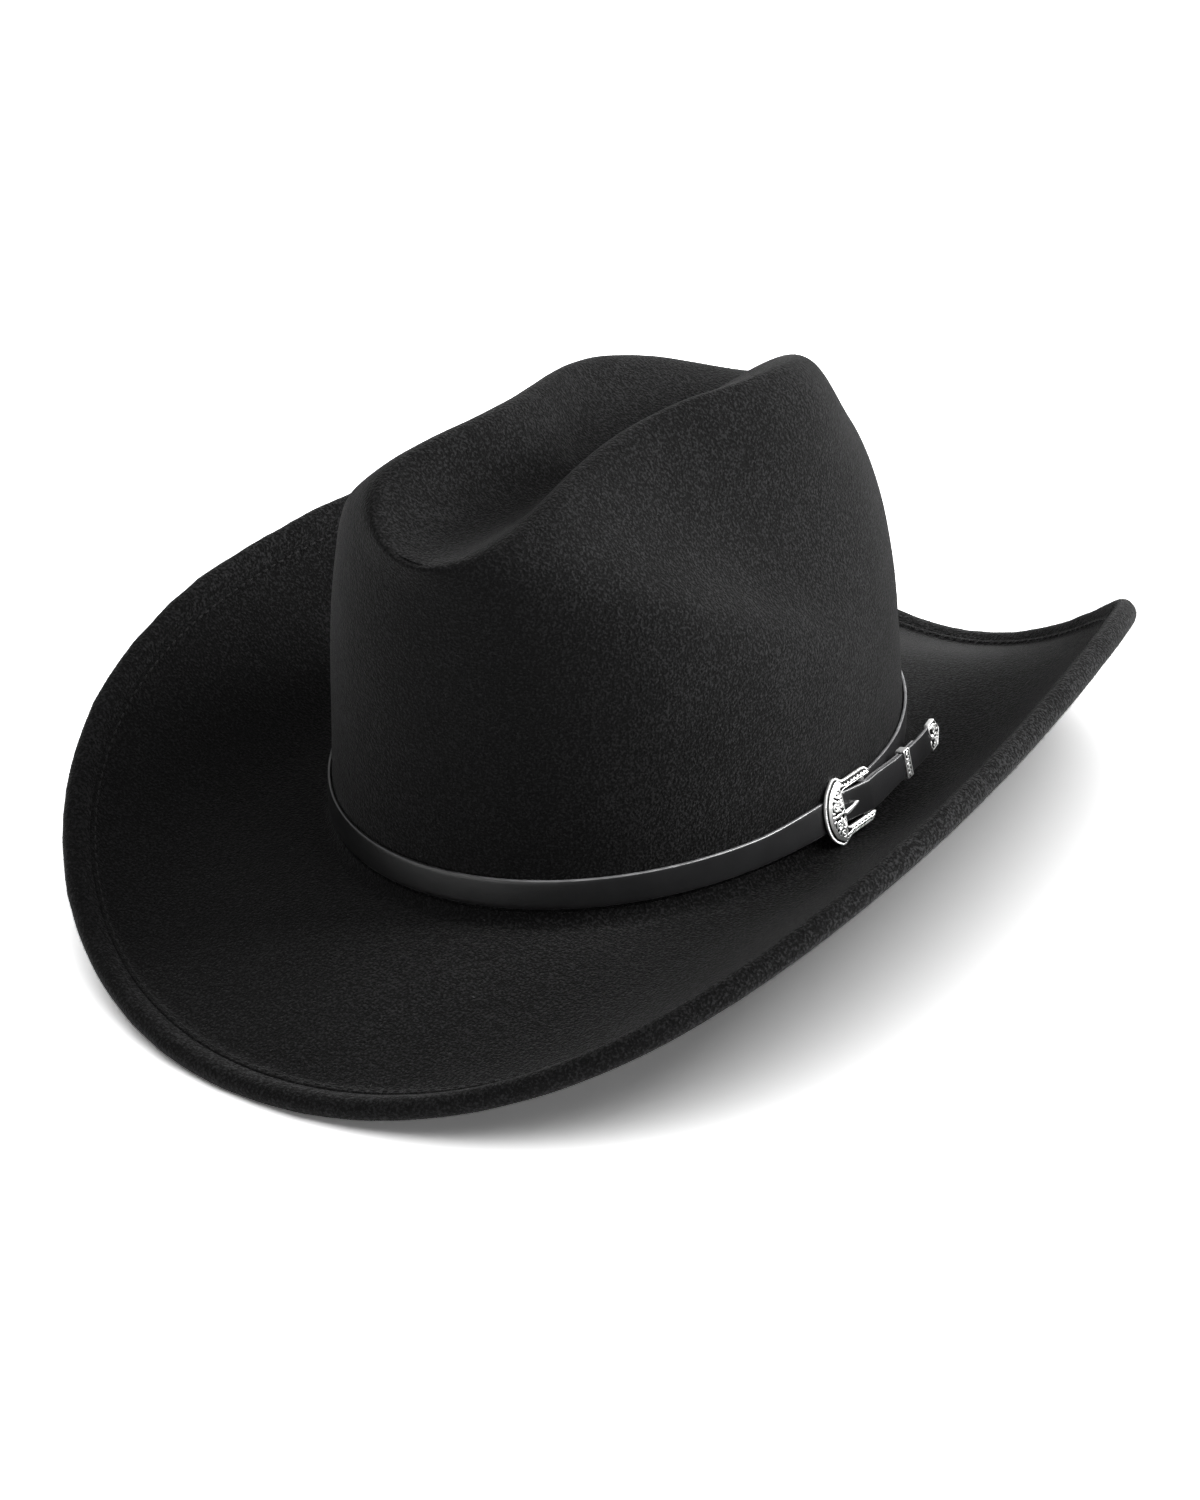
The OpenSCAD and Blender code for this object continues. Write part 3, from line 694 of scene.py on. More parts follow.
def strapRings(d):  # the folded end, round the bar, once round the crown, and over the bar to the tip
    fold = (hat["foldLength"], 27, 23, 20, taperEnd, 13, 9, taperStart, 3, 1)
    rings = [(local(-s, loopRadius), localZ, widthAt(s)) for s in fold]
    rings += roundBar(loopRadius, np.radians(np.linspace(90, -90, 25)))
    riseAngle, whole = barPhi - d["rise"] / mmPerRadian, 2 * pi
    for phi in np.linspace(barPhi + radians(2.2), whole + riseAngle - radians(0.4), d["wallSteps"]):
        s = (phi - barPhi) * mmPerRadian
        rings.append(wallRing(phi, s if phi - barPhi < pi else s - whole * mmPerRadian))
    rings.append(wallRing(riseAngle, -float(d["rise"])))
    away = rings[-1][0] - bar
    flat = np.array([away @ localX, away @ localY])
    riseTurn = atan2(flat[1], flat[0]) + acos(tailRadius / np.linalg.norm(flat))
    rings += roundBar(tailRadius, np.linspace(riseTurn, pi / 2, 7))
    tail = (1, 3, taperStart, 9, 13, taperEnd, 20, 22, bendStart, *np.linspace(bendStart, hat["tailLength"], 12)[1:])
    return rings + [(local(-s, tailHeight(s)), localZ, widthAt(s)) for s in tail]


def strapSection(d, width):  # (out, up) pairs, outside first, with soft edges and a low dome
    half, w, r, c = hat["strapThickness"] / 2, width / 2, d["corner"], d["backCorner"]
    face = [(half + d["dome"] * (1 - (u / w) ** 2), u) for u in np.linspace(-w + r, w - r, 9)]
    turns = [(half - r + r * cos(a), r * sin(a)) for a in np.radians((20, 45, 70, 90))]
    return [*face, *((x, w - r + y) for x, y in turns), (-half + c, w), (-half, w - c), (-half, 0.0), (-half, -w + c),
            (-half + c, -w), *((x, -w + r - y) for x, y in turns[::-1])]


def makeStrap(d):
    rings = strapRings(d)
    centres = np.array([r[0] for r in rings])
    rows = []
    for i, (p, up, width) in enumerate(rings):
        t = unit(centres[min(i + 1, len(rings) - 1)] - centres[max(i - 1, 0)])
        side = unit(np.cross(t, up))
        rows.append([p + a * side + b * up for a, b in strapSection(d, width)])
    # marks the corners along the strap's top and bottom edges, which take a painted highlight
    edge = [1.0 if 9 <= i < 14 or i >= 17 else 0.0 for i in range(len(rows[0]))]
    shell = Shell()
    shell.tube(shell.add(toHat(rows), edge=edge))
    finishPiece(shell.make("hatbandStrap", strapLeather), "hat", "strap", "hatband_strap")


makeStrap(strapDetail)
print("strap done")


# ---- buckle set: engraved plates ----
engraving = dict(
    recess=0.26, softness=0.42, spread=1.45, rimRadius=0.3, rimAngles=(25, 50, 75, 105, 130, 155, 180), batch=4000,
)


def scroll(x, y, radius, start, turns, thick=0.3):  # discs (x, y, radius) along a curl, angles in degrees
    t = np.linspace(0, 1, 44)
    a = np.radians(start + 360 * turns * t)
    r = radius * (1 - t) ** 0.8 + 0.1
    return np.stack([x + r * np.cos(a), y + r * np.sin(a), thick * (1 - 0.4 * t)], -1)


def leaf(x, y, angle, length, thick=0.3, curve=20):
    t = np.linspace(0, 1, 16)
    a = np.radians(angle + curve * t)
    size = thick * np.sin(pi * (0.2 + 0.75 * t)) + 0.03
    return np.stack([x + length * t * np.cos(a), y + length * t * np.sin(a), size], -1)


def leafRun(start, stop, middle, pitch=0.85, reach=0.62, thick=0.2):  # a waving stem with leaves on both sides
    x = np.arange(start, stop, 0.12)
    parts = [np.stack([x, middle + 0.16 * np.sin(x * 2.3), np.full_like(x, 0.13)], -1)]
    for i, s in enumerate(np.arange(start, stop, pitch)):
        side = 1 if i % 2 else -1
        parts.append(leaf(s, middle, 62 * side, reach, thick, 25 * side))
    return np.concatenate(parts)


def strokesOf(scrolls, leaves, *more):
    return np.concatenate([*(scroll(*s) for s in scrolls), *(leaf(*s) for s in leaves), *more])


def mirrored(strokes):
    return np.concatenate([strokes, strokes * [1, -1, 1]])


def raised(plan, strokes):  # 1 on the strokes, 0 in the ground between them
    flat, batch = plan.reshape(-1, 2), engraving["batch"]
    high = np.zeros(len(flat))
    for first in range(0, len(flat), batch):
        part = flat[first:first + batch]
        away = np.linalg.norm(part[:, None] - strokes[None, :, :2], axis=-1) / strokes[None, :, 2]
        high[first:first + batch] = ease((engraving["spread"] - away.min(1)) / engraving["softness"])
    return high.reshape(plan.shape[:-1])


def smoothLine(points, count, reach, steps=1200):  # evenly spaced along the line, with its corners rounded
    points = np.asarray(points, float)
    run = np.concatenate([[0], np.cumsum(np.linalg.norm(np.diff(points, axis=0), axis=1))])
    fine = np.linspace(0, run[-1], steps)
    line = np.stack([np.interp(fine, run, points[:, i]) for i in range(2)], -1)
    half = max(1, int(reach / run[-1] * steps))
    held = np.pad(line, ((half, half), (0, 0)), mode="reflect", reflect_type="odd")
    soft = [np.convolve(held[:, i], np.ones(2 * half + 1) / (2 * half + 1), "valid") for i in range(2)]
    return np.stack([np.interp(np.linspace(0, steps - 1, count), np.arange(steps), v) for v in soft], -1)


def reliefPlate(name, plan, top, under, high, place, material):
    # a plate with a worked face, a rounded rim and a plain back; plan is a grid of flat points
    rows, columns = plan.shape[:2]
    shell = Shell()
    face = shell.add(place(plan[..., 0], plan[..., 1], top), high=high)
    loop = [(0, j) for j in range(columns)] + [(i, columns - 1) for i in range(1, rows)]
    loop += [(rows - 1, j) for j in range(columns - 2, -1, -1)] + [(i, 0) for i in range(rows - 2, 0, -1)]
    r, c = np.array(loop).T
    edge, height = plan[r, c], top[r, c]
    along = unit(np.roll(edge, -1, 0) - np.roll(edge, 1, 0))
    area = np.sum(edge[:, 0] * np.roll(edge[:, 1], -1) - edge[:, 1] * np.roll(edge[:, 0], -1))
    out = turnedRight(along) * copysign(1, area)
    turned = [face[r, c]]
    for angle in engraving["rimAngles"]:
        a = radians(angle)
        p = edge + engraving["rimRadius"] * sin(a) ** 0.8 * out if angle < 180 else edge
        turned.append(shell.add(place(p[:, 0], p[:, 1], under + (height - under) * (1 + cos(a)) / 2), high=1.0))
    shell.skin(face, closed=False)
    shell.skin(turned, flip=True)
    back = np.empty((rows, columns), int)
    back[r, c] = turned[-1]
    for j in range(1, columns - 2):
        shell.cap((back[0, j], back[-1, j], back[-1, j + 1], back[0, j + 1]))
    shell.cap((*back[:, 0], back[-1, 1], back[0, 1]))
    shell.cap((*back[::-1, -1], back[0, -2], back[-1, -2]))
    return shell.make(name, material)


# the bow and its two arms
bow = dict(
    tilt=8, middle=1.7, rise=1.4, edgeRise=0.35, under=-0.75, bend=1.1, rows=48, columns=(64, 70, 70),
    armEnd=-1.6, armHeight=9.2, windowHeight=6.3, windowEnd=12.4, notch=11.6, shoulderRadius=2.6, bowHeight=11.3,
    arcMiddle=9.3, arcRadius=12.7, ropeWidth=0.8, beadLine=1.42, innerLine=2.04,
    ropeCount=88, ropeLength=0.6, ropeThickness=0.27, ropeTurn=48, beadCount=46, beadRadius=0.3,
)


def onBow(u, v, h):
    a = radians(bow["tilt"])
    h = h - bow["bend"] * (v / bow["bowHeight"]) ** 2
    return toHat(local(u * cos(a) + h * sin(a), bow["middle"] - u * sin(a) + h * cos(a), v))


def bowLines(b):  # outer and inner edge from the upper arm's end, through the bow, to the lower arm's end
    start, arm, notch, r, high = (b[k] for k in ("armEnd", "armHeight", "notch", "shoulderRadius", "bowHeight"))
    window, end, reach = b["windowHeight"], b["windowEnd"], b["arcRadius"]
    upper = [(start, arm - 1.2), (start + 0.35, arm - 0.35), (start + 1.2, arm), (notch - 0.9, arm)]
    turn = [upper[-1], (notch + 0.1, arm + 0.8)]
    turn += [(notch + r + r * cos(a), high - r + r * sin(a)) for a in np.radians(range(155, 55, -10))]
    tip = asin((high - 1.2) / reach)
    arc = [(b["arcMiddle"] + reach * cos(a), reach * sin(a)) for a in np.linspace(tip * 0.8, 0, 24)]
    turn += [arc[0]]
    corner, side = (notch - 1.4, window), (end, window - 1.6)
    turned = [corner, (notch - 0.7, window), (end - 0.3, window - 0.5), side]
    inner = ([(start, window), corner], turned, [side, (end, 0)])
    sides = []
    for parts in ((upper, turn, arc), inner):
        half = np.concatenate([smoothLine(p, n, 0.01)[:-1] for p, n in zip(parts, b["columns"])] + [[parts[-1][-1]]])
        sides.append(relaxed(np.concatenate([half, half[-2::-1] * [1, -1]]), 40))
    return sides


def inwards(line, amount):  # a line moved towards the window
    return line + amount * turnedRight(unit(np.gradient(line, axis=0)))


bowStrokes = np.concatenate([
    mirrored(strokesOf(
        [(15.4, 6.7, 1.75, 250, -1.6, 0.33), (17.3, 3.1, 1.55, 95, 1.6, 0.31), (14.3, 3.3, 1.15, 300, -1.4, 0.26)],
        [(13.9, 8.1, 165, 2.2, 0.33, 20), (14.2, 5.1, 185, 1.5, 0.26), (16.2, 8.7, 330, 1.6, 0.3),
         (17.3, 6.7, 335, 1.4, 0.3), (16.9, 5.0, 20, 1.9, 0.3), (18.9, 3.9, 60, 1.1, 0.26),
         (15.6, 4.5, 285, 1.5, 0.27), (18.6, 1.4, 10, 1.1, 0.28), (13.3, 1.3, 55, 1.2, 0.24),
         (15.4, 1.2, 35, 1.5, 0.3), (12.3, 8.0, 175, 1.3, 0.25)],
        leafRun(-0.6, 11.2, 7.55))),
    strokesOf([], [(13.0, 0, 0, 2.4, 0.42, 0), (15.6, 0, 0, 2.6, 0.46, 0), (18.2, 0, 0, 1.6, 0.4, 0)]),
])


def makeBow(b):
    outer, inner = (inwards(line, engraving["rimRadius"] * side) for line, side in zip(bowLines(b), (1, -1)))
    across = np.linspace(0, 1, b["rows"])[:, None, None]
    plan = inner * (1 - across) + outer * across
    width, across = np.linalg.norm(outer - inner, axis=-1), across[..., 0]
    toOuter, toInner, line = width * (1 - across), width * across, b["innerLine"]
    broad = ease((width - 3.4) / 1.6)  # 0 on the arms, 1 on the bow
    high = np.maximum(raised(plan, bowStrokes), ease((0.32 - toInner) / 0.14))
    high = np.maximum(high, broad * ease((0.16 - np.abs(toOuter - line)) / 0.1))
    ground = ease((toOuter - b["ropeWidth"] * 0.75) / 0.12) * (1 - broad) + ease((toOuter - line + 0.12) / 0.1) * broad
    high = high * ground + 0.55 * broad * ease((toOuter - b["ropeWidth"]) / 0.15) * ease((line - 0.1 - toOuter) / 0.15)
    dome = (1 - np.abs(2 * across - 1) ** 2.2) * np.minimum(1, 0.5 + width / 16)
    top = b["edgeRise"] + (b["rise"] - b["edgeRise"]) * dome + engraving["recess"] * (high - 1)
    return reliefPlate("engravedBow", plan, top, b["under"], high, onBow, engravedSilver), outer


lugs = dict(outside=1.3, flatTop=1.55, bore=0.84, place=hat["strapWidth"] * 0.63, width=1.4, soft=0.14, sides=40)


def makeLugs(d):  # the two eyes under the arms that hold the bar
    shell, a = Shell(), around(d["sides"])
    c, s = np.cos(a), np.sin(a)
    reach = np.minimum(d["outside"] / np.maximum(np.abs(c), 1e-6), d["flatTop"] / np.maximum(s, 1e-6))
    reach, less = np.where(s <= 0, d["outside"], reach), d["soft"]
    for side in (-1, 1):
        z0, z1, soft = side * d["place"], side * (d["place"] + d["width"]), d["soft"] * side
        section = ((reach, z0 + soft), (reach - less, z0), (d["bore"], z0), (d["bore"], z1), (reach - less, z1),
                   (reach, z1 - soft))
        rows = [toHat(local(r * c, r * s, z)) for r, z in section]
        shell.ring(shell.add(rows[::side]))
    return shell.make("barLugs", plainSilver)


bowPlate, bowOuter = makeBow(bow)
finishPiece(bowPlate, "buckle", "buckle", "buckle_frame")
finishPiece(makeLugs(lugs), "buckle", "buckle")
print("bow done")

# the prong: an eye round the bar and an arched spike that rests over the bow
prong = dict(  # the path is (along, up) with a half width at each of its points
    bore=0.92, outside=1.66, halfWidth=1.0, eyeSides=44, deep=0.55, sides=20, steps=46, point=8,
    path=((0.9, 0.25), (3, 0.55), (6, 0.95), (9, 1.35), (11, 1.6), (12.6, 1.62), (13.9, 1.5), (14.8, 1.34)),
    widths=(0.72, 0.7, 0.62, 0.62, 0.78, 0.95, 0.72, 0.0),
)


def makeProng(p):
    shell, a, section = Shell(), around(p["eyeSides"]), around(p["sides"])
    middle, deep = (p["bore"] + p["outside"]) / 2, (p["outside"] - p["bore"]) / 2
    rows = []
    for t in around(16):
        r, z = middle + deep * squared(cos(t), 0.5), p["halfWidth"] * squared(sin(t), 0.5)
        rows.append(local(r * np.cos(a), r * np.sin(a), z))
    shell.ring(shell.add(toHat(rows[::-1])))
    x, y = np.array(p["path"]).T
    fine, n = np.linspace(x[0], x[-1], p["steps"]), p["point"]
    half = np.interp(fine, x, p["widths"])
    half[-n:] = half[-n] * np.sqrt(1 - (np.arange(1, n + 1) / (n + 0.3)) ** 2)
    rows = []
    for u, h, w in zip(fine, relaxed(np.interp(fine, x, y), 8), half):
        deep = p["deep"] * min(1.0, w / 0.6)
        rows.append(local(u, h + deep * np.sin(section) * (1 - 0.18 * np.cos(section) ** 2), w * np.cos(section)))
    shell.tube(shell.add(toHat(rows)))
    return shell.make("bucklePin", plainSilver)


finishPiece(makeProng(prong), "prong", "buckle", "buckle_prong")
print("prong done")

# the keeper: a flat loop with a worked front
keeper = dict(
    middle=-23, width=3.4, inside=(0.8, 3.25), halfInside=4.25, wall=0.6, corner=0.55, innerCorner=0.15, rows=20,
    dome=0.16, scrolls=(-3.2, -1.1, 1.1, 3.2),
)


def loopRound(y0, y1, half, r):  # a rounded rectangle in (y, z): front, top, back and underside
    counts = ((64, (y1, -half + r), (y1, half - r)), (10, (y1 - r, half), (y0 + r, half)),
              (20, (y0, half - r), (y0, -half + r)), (10, (y0 + r, -half), (y1 - r, -half)))
    points, normals = [], []
    for n, p, q in counts:
        p, q = np.array(p, float), np.array(q, float)
        out = unit(turnedRight(q - p))
        points += [p + (q - p) * t for t in np.linspace(0, 1, n)]
        normals += [out] * n
        for a in np.radians((18, 36, 54, 72)):
            normals.append(out * cos(a) + unit(q - p) * sin(a))
            points.append(q - out * r + r * normals[-1])
    return np.array(points), np.array(normals)


def makeKeeper(k):
    y0, y1 = k["inside"]
    outside, normals = loopRound(y0 - k["wall"], y1 + k["wall"], k["halfInside"] + k["wall"], k["corner"])
    inner, _ = loopRound(y0, y1, k["halfInside"], k["innerCorner"])
    across = np.linspace(-1, 1, k["rows"])[:, None]
    x = across * k["width"] / 2 + np.zeros(len(outside))
    plan = np.stack([np.broadcast_to(outside[:, 1], x.shape), x], -1)
    toEdge = k["width"] / 2 - np.abs(x)
    scrolls = [(z, 0, 0.5, 90 * z, 1.2, 0.18) for z in k["scrolls"]]
    strokes = strokesOf(scrolls, [], leafRun(-4.2, 4.2, 0, 0.8, 0.8, 0.24))
    front = ease((normals[:, 0] - 0.6) / 0.3)
    high = np.maximum(raised(plan, strokes), ease((0.5 - toEdge) / 0.12)) * ease((np.abs(toEdge - 0.62) - 0.04) / 0.08)
    high = 1 - front * (1 - high)
    lifted = k["dome"] * (1 - across ** 6) - k["dome"] + engraving["recess"] * 0.8 * (high - 1)
    shell = Shell()
    y, z = (outside[:, i] + normals[:, i] * lifted for i in (0, 1))
    ids = shell.add(toHat(local(k["middle"] + x, y, z)), high=high)
    half = k["width"] / 2 - 0.05
    ends = [shell.add(toHat(local(k["middle"] + x, *inner.T)), high=1.0) for x in (half, -half)]
    shell.ring([*ids, *ends])
    return shell.make("strapLoop", engravedSilver)


finishPiece(makeKeeper(keeper), "keeper", "buckle", "strap_keeper")

# the pointed metal tip on the strap's end
metalTip = dict(
    grip=4.5, length=8.8, shoulder=0.6, halfHeight=4.6, bracket=0.9, rise=1.0, edgeRise=0.72, under=-1.1,
    rows=46, columns=44, bossRadius=0.95, bossRise=0.45, bossPlace=0.75,
    scrolls=[(0.8, 2.0, 1.1, 200, -1.5, 0.26)],
    leaves=[(2.4, 2.4, 80, 1.3, 0.27), (-0.6, 0.9, 170, 1.9, 0.28), (-0.9, 2.6, 200, 1.4, 0.26),
            (2.2, 1.0, 150, 1.2, 0.26), (1.6, 3.3, 160, 1.2, 0.24), (3.6, 2.9, 120, 1.0, 0.22)],
    middleLeaves=[(-2.7, 0, 180, 1.1, 0.3, 0), (1.4, 0, 180, 1.7, 0.3, 0)],
)


def onTip(u, v, h):
    a = atan(2 * bend * (hat["tailLength"] - metalTip["grip"] / 2 - bendStart))
    x = -hat["tailLength"] + u * cos(a) - h * sin(a)
    return toHat(local(x, tailHeight(hat["tailLength"]) + u * sin(a) + h * cos(a), v))


def makeTip(m):
    half, rim = m["halfHeight"], engraving["rimRadius"]
    v = np.linspace(-1, 1, m["columns"]) * (half - rim)
    share = np.abs(v) / half
    mouth = m["grip"] + m["bracket"] * (0.5 - 0.5 * np.cos(2 * pi * share)) * (share > 0) - rim
    end = m["grip"] - m["length"] * (m["shoulder"] + (1 - m["shoulder"]) * (1 - share)) + rim * 1.2
    along = np.linspace(0, 1, m["rows"])[:, None]
    u = mouth * (1 - along) + end * along
    plan = np.stack([u, np.broadcast_to(v, u.shape)], -1)
    strokes = np.concatenate([mirrored(strokesOf(m["scrolls"], m["leaves"])), strokesOf([], m["middleLeaves"])])
    slope = (m["shoulder"] - 1) * m["length"] / half
    toPoint = (u - end) * abs(cos(atan(slope)))
    toEdge = np.minimum(np.minimum(half - 0.3 - np.abs(v), mouth - u), toPoint)
    high = np.maximum(raised(plan, strokes), ease((0.36 - toEdge) / 0.12)) * ease((np.abs(toEdge - 0.52) - 0.03) / 0.08)
    boss = np.linalg.norm(plan - [m["grip"] - m["bossPlace"], 0], axis=-1)
    high = np.where(boss < m["bossRadius"] + 0.22, ease((m["bossRadius"] - boss) / 0.1), high)
    top = m["edgeRise"] + (m["rise"] - m["edgeRise"]) * ease(toEdge / 1.2) + engraving["recess"] * (high - 1)
    top = top + m["bossRise"] * np.sqrt(np.clip(1 - (boss / m["bossRadius"]) ** 2, 0, 1))
    return reliefPlate("strapPoint", plan, top, m["under"], high, onTip, engravedSilver)


finishPiece(makeTip(metalTip), "hat", "buckle", "strap_tip")
print("keeper and tip done")


# ---- node trees for what repeats: stitches, rope edge, beads and fibres ----
def newTree(name, **sockets):
    tree = bpy.data.node_groups.new(name, "GeometryNodeTree")
    ids = {key: tree.interface.new_socket(name=key, in_out="INPUT", socket_type="NodeSocket" + kind).identifier
           for key, kind in sockets.items()}
    tree.interface.new_socket(name="Pieces", in_out="OUTPUT", socket_type="NodeSocketGeometry")
    return tree, ids, tree.nodes.new("NodeGroupInput").outputs


def randomValue(tree, low, high, seed):
    return result(tree, "FunctionNodeRandomValue", {2: low, 3: high, "Seed": seed}, 1)


def turned(tree, turn, axis, angle):
    spin = result(tree, "FunctionNodeAxisAngleToRotation", {"Axis": axis, "Angle": angle})
    return result(tree, "FunctionNodeRotateRotation", {"Rotation": turn, "Rotate By": spin}, rotation_space="LOCAL")


def placeCopies(tree, given, points, shape, turn, scale, smooth):  # the end of both trees
    size = result(tree, "ShaderNodeCombineXYZ", dict(enumerate(scale)))
    whole = result(tree, "GeometryNodeInstanceOnPoints",
                   {"Points": points, "Instance": shape, "Rotation": turn, "Scale": size})
    whole = result(tree, "GeometryNodeRealizeInstances", {"Geometry": whole})
    if smooth:
        whole = result(tree, "GeometryNodeSetShadeSmooth", {"Geometry": whole, "Shade Smooth": True})
    whole = result(tree, "GeometryNodeSetMaterial", {"Geometry": whole, "Material": given["Finish"]})
    tree.links.new(whole, tree.nodes.new("NodeGroupOutput").inputs[0])


def alongTree():  # places one small rounded shape again and again along a path of edges
    tree, ids, given = newTree(
        "repeatAlongPath", Path="Geometry", Count="Int", Length="Float", Width="Float", Height="Float", Turn="Float",
        Scatter="Float", Seed="Int", Sides="Int", Finish="Material")
    curve = result(tree, "GeometryNodeMeshToCurve", {"Mesh": given["Path"]})
    line = result(tree, "GeometryNodeResampleCurve", {"Curve": curve, "Count": given["Count"]})
    ball = result(tree, "GeometryNodeMeshUVSphere", {"Segments": given["Sides"], "Rings": 6, "Radius": 1.0})
    tangent = result(tree, "GeometryNodeInputTangent")
    away = result(tree, "GeometryNodeInputNamedAttribute", {"Name": "away"}, "Attribute", data_type="FLOAT_VECTOR")
    turn = result(tree, "FunctionNodeAlignRotationToVector", {"Vector": tangent}, axis="X")
    turn = result(tree, "FunctionNodeAlignRotationToVector", {"Rotation": turn, "Vector": away},
                  axis="Z", pivot_axis="X")
    loose = randomValue(tree, times(tree, given["Scatter"], -1.0), given["Scatter"], given["Seed"])
    turn = turned(tree, turn, (0, 0, 1), plus(tree, given["Turn"], loose))
    placeCopies(tree, given, line, ball, turn, (given["Length"], given["Width"], given["Height"]), True)
    return tree, ids


def fibreTree():  # scatters short tapered fibres over a surface
    tree, ids, given = newTree(
        "looseFibres", Surface="Geometry", Density="Float", Length="Float", Thickness="Float", Lean="Float",
        Bend="Float", Segments="Int", Seed="Int", Finish="Material")
    points = addNode(tree, "GeometryNodeDistributePointsOnFaces",
                     {"Mesh": given["Surface"], "Density": given["Density"], "Seed": given["Seed"]}).outputs
    cone = result(tree, "GeometryNodeMeshCone", {
        "Vertices": 3, "Side Segments": given["Segments"], "Radius Top": 0.0, "Radius Bottom": 1.2, "Depth": 1.0,
    }, "Mesh", fill_type="NGON")
    rise = result(tree, "ShaderNodeSeparateXYZ", {0: result(tree, "GeometryNodeInputPosition")}, 2)
    sway = times(tree, times(tree, rise, rise), given["Bend"])
    moved = result(tree, "ShaderNodeCombineXYZ", {0: sway})
    cone = result(tree, "GeometryNodeSetPosition", {"Geometry": cone, "Offset": moved})

    def chance(low, high, step):  # each kind of chance has a seed of its own
        return randomValue(tree, low, high, plus(tree, given["Seed"], step))

    turn = turned(tree, points["Rotation"], (0, 0, 1), chance(0.0, 6.283, 13.0))
    turn = turned(tree, turn, (0, 1, 0), chance(0.15, given["Lean"], 7.0))
    length = times(tree, given["Length"], chance(0.35, 1.0, 29.0))
    placeCopies(tree, given, points["Points"], cone, turn, (given["Thickness"], given["Thickness"], length), False)
    return tree, ids


repeatAlong, looseFibres = alongTree(), fibreTree()


def grown(name, source, made, **inputs):  # runs a node tree on a carrier mesh and keeps the plain result
    tree, ids = made
    carrier = newObject(name + "Carrier", source)
    modifier = carrier.modifiers.new("grow", "NODES")
    modifier.node_group = tree
    for key, value in inputs.items():
        modifier[ids[key]] = value
    ready = carrier.evaluated_get(bpy.context.evaluated_depsgraph_get())
    mesh = bpy.data.meshes.new_from_object(ready)
    mesh.name = name
    carrier.modifiers.clear()
    bpy.data.objects.remove(carrier)
    return newObject(name, mesh)


def pathMesh(points, away, closed=False):  # millimetres in the hat's frame; away points out of the surface
    n = len(points)
    mesh = bpy.data.meshes.new("path")
    edges = [(i, (i + 1) % n) for i in range(n if closed else n - 1)]
    mesh.from_pydata((np.asarray(points) * 0.001).tolist(), edges, [])
    data = mesh.attributes.new("away", "FLOAT_VECTOR", "POINT").data
    data.foreach_set("vector", np.broadcast_to(away, (n, 3)).astype(np.float32).ravel())
    return mesh


def repeat(name, points, away, material, count, size, turn=0.0, scatter=0.0, closed=False):
    # size is the length, width and height of one piece in millimetres
    length, width, height = (s / 2000 for s in size)
    return grown(name, pathMesh(points, away, closed), repeatAlong, Count=count, Length=length, Width=width,
                 Height=height, Turn=radians(turn), Scatter=radians(scatter), Seed=11, Sides=8, Finish=material)


def bowTrim(b):
    face = unit(onBow(0.0, 0.0, 1.0) - onBow(0.0, 0.0, 0.0))
    edge = inwards(bowOuter, -0.02)
    rope = onBow(edge[:, 0], edge[:, 1], b["edgeRise"] - 0.12)
    strand, bead = 2 * b["ropeThickness"], 2 * b["beadRadius"]
    size = (2 * b["ropeLength"], strand, strand)
    finishPiece(repeat("ropeEdge", rope, face, plainSilver, b["ropeCount"], size, b["ropeTurn"]), "buckle", "buckle")
    first = int(b["columns"][0] * 1.12)
    line = inwards(bowOuter, b["beadLine"] - engraving["rimRadius"])[first:-first]
    beads = onBow(line[:, 0], line[:, 1], b["edgeRise"] + 0.06)
    finishPiece(repeat("beadLine", beads, face, plainSilver, b["beadCount"], (bead,) * 3), "buckle", "buckle")


bowTrim(bow)
print("rope edge and beads done")

hemStitches = dict(count=288, size=(2.5, 0.55, 0.55), inside=5.5, rise=1.15, scatter=3)


def makeHemStitches(h):
    phi = around(720)
    _, out, up = edgeFrame(phi)
    line = toHat(edgeLine(phi) - h["inside"] * out + h["rise"] * up)
    obj = repeat("hemStitches", line, up, hemThread, h["count"], h["size"], 0, h["scatter"], True)
    finishPiece(obj, "hat", "thread", "brim_hem_stitching")


makeHemStitches(hemStitches)
print("hem stitches done")


# ---- bands inside the crown ----
inside = dict(
    out=-(hat["feltThickness"] + 1.4), thickness=1.0, bottom=hat["breakHeight"] - 2, height=30, slit=radians(0.5),
    reedRadius=0.9, tapeWidth=22, tapeThickness=0.5, tapeInset=2, stitches=170, stitchSize=(2.3, 0.5, 0.5),
    stitchHeight=1.2,
)


def bandShell(name, profile, first, last, columns, material):
    # profile is a closed loop of (out, z) points, swept round the oval between two angles
    shell = Shell()
    phi = np.linspace(first, last, columns)
    ids = shell.add(toHat([ovalRing(phi, p, z) for p, z in profile]))
    for a, b in zip(ids, np.roll(ids, -1, 0)):
        shell.strip(a, b, closed=False)
    shell.cap(ids[:, 0])
    shell.cap(ids[:, -1], flip=True)
    return shell.make(name, material)


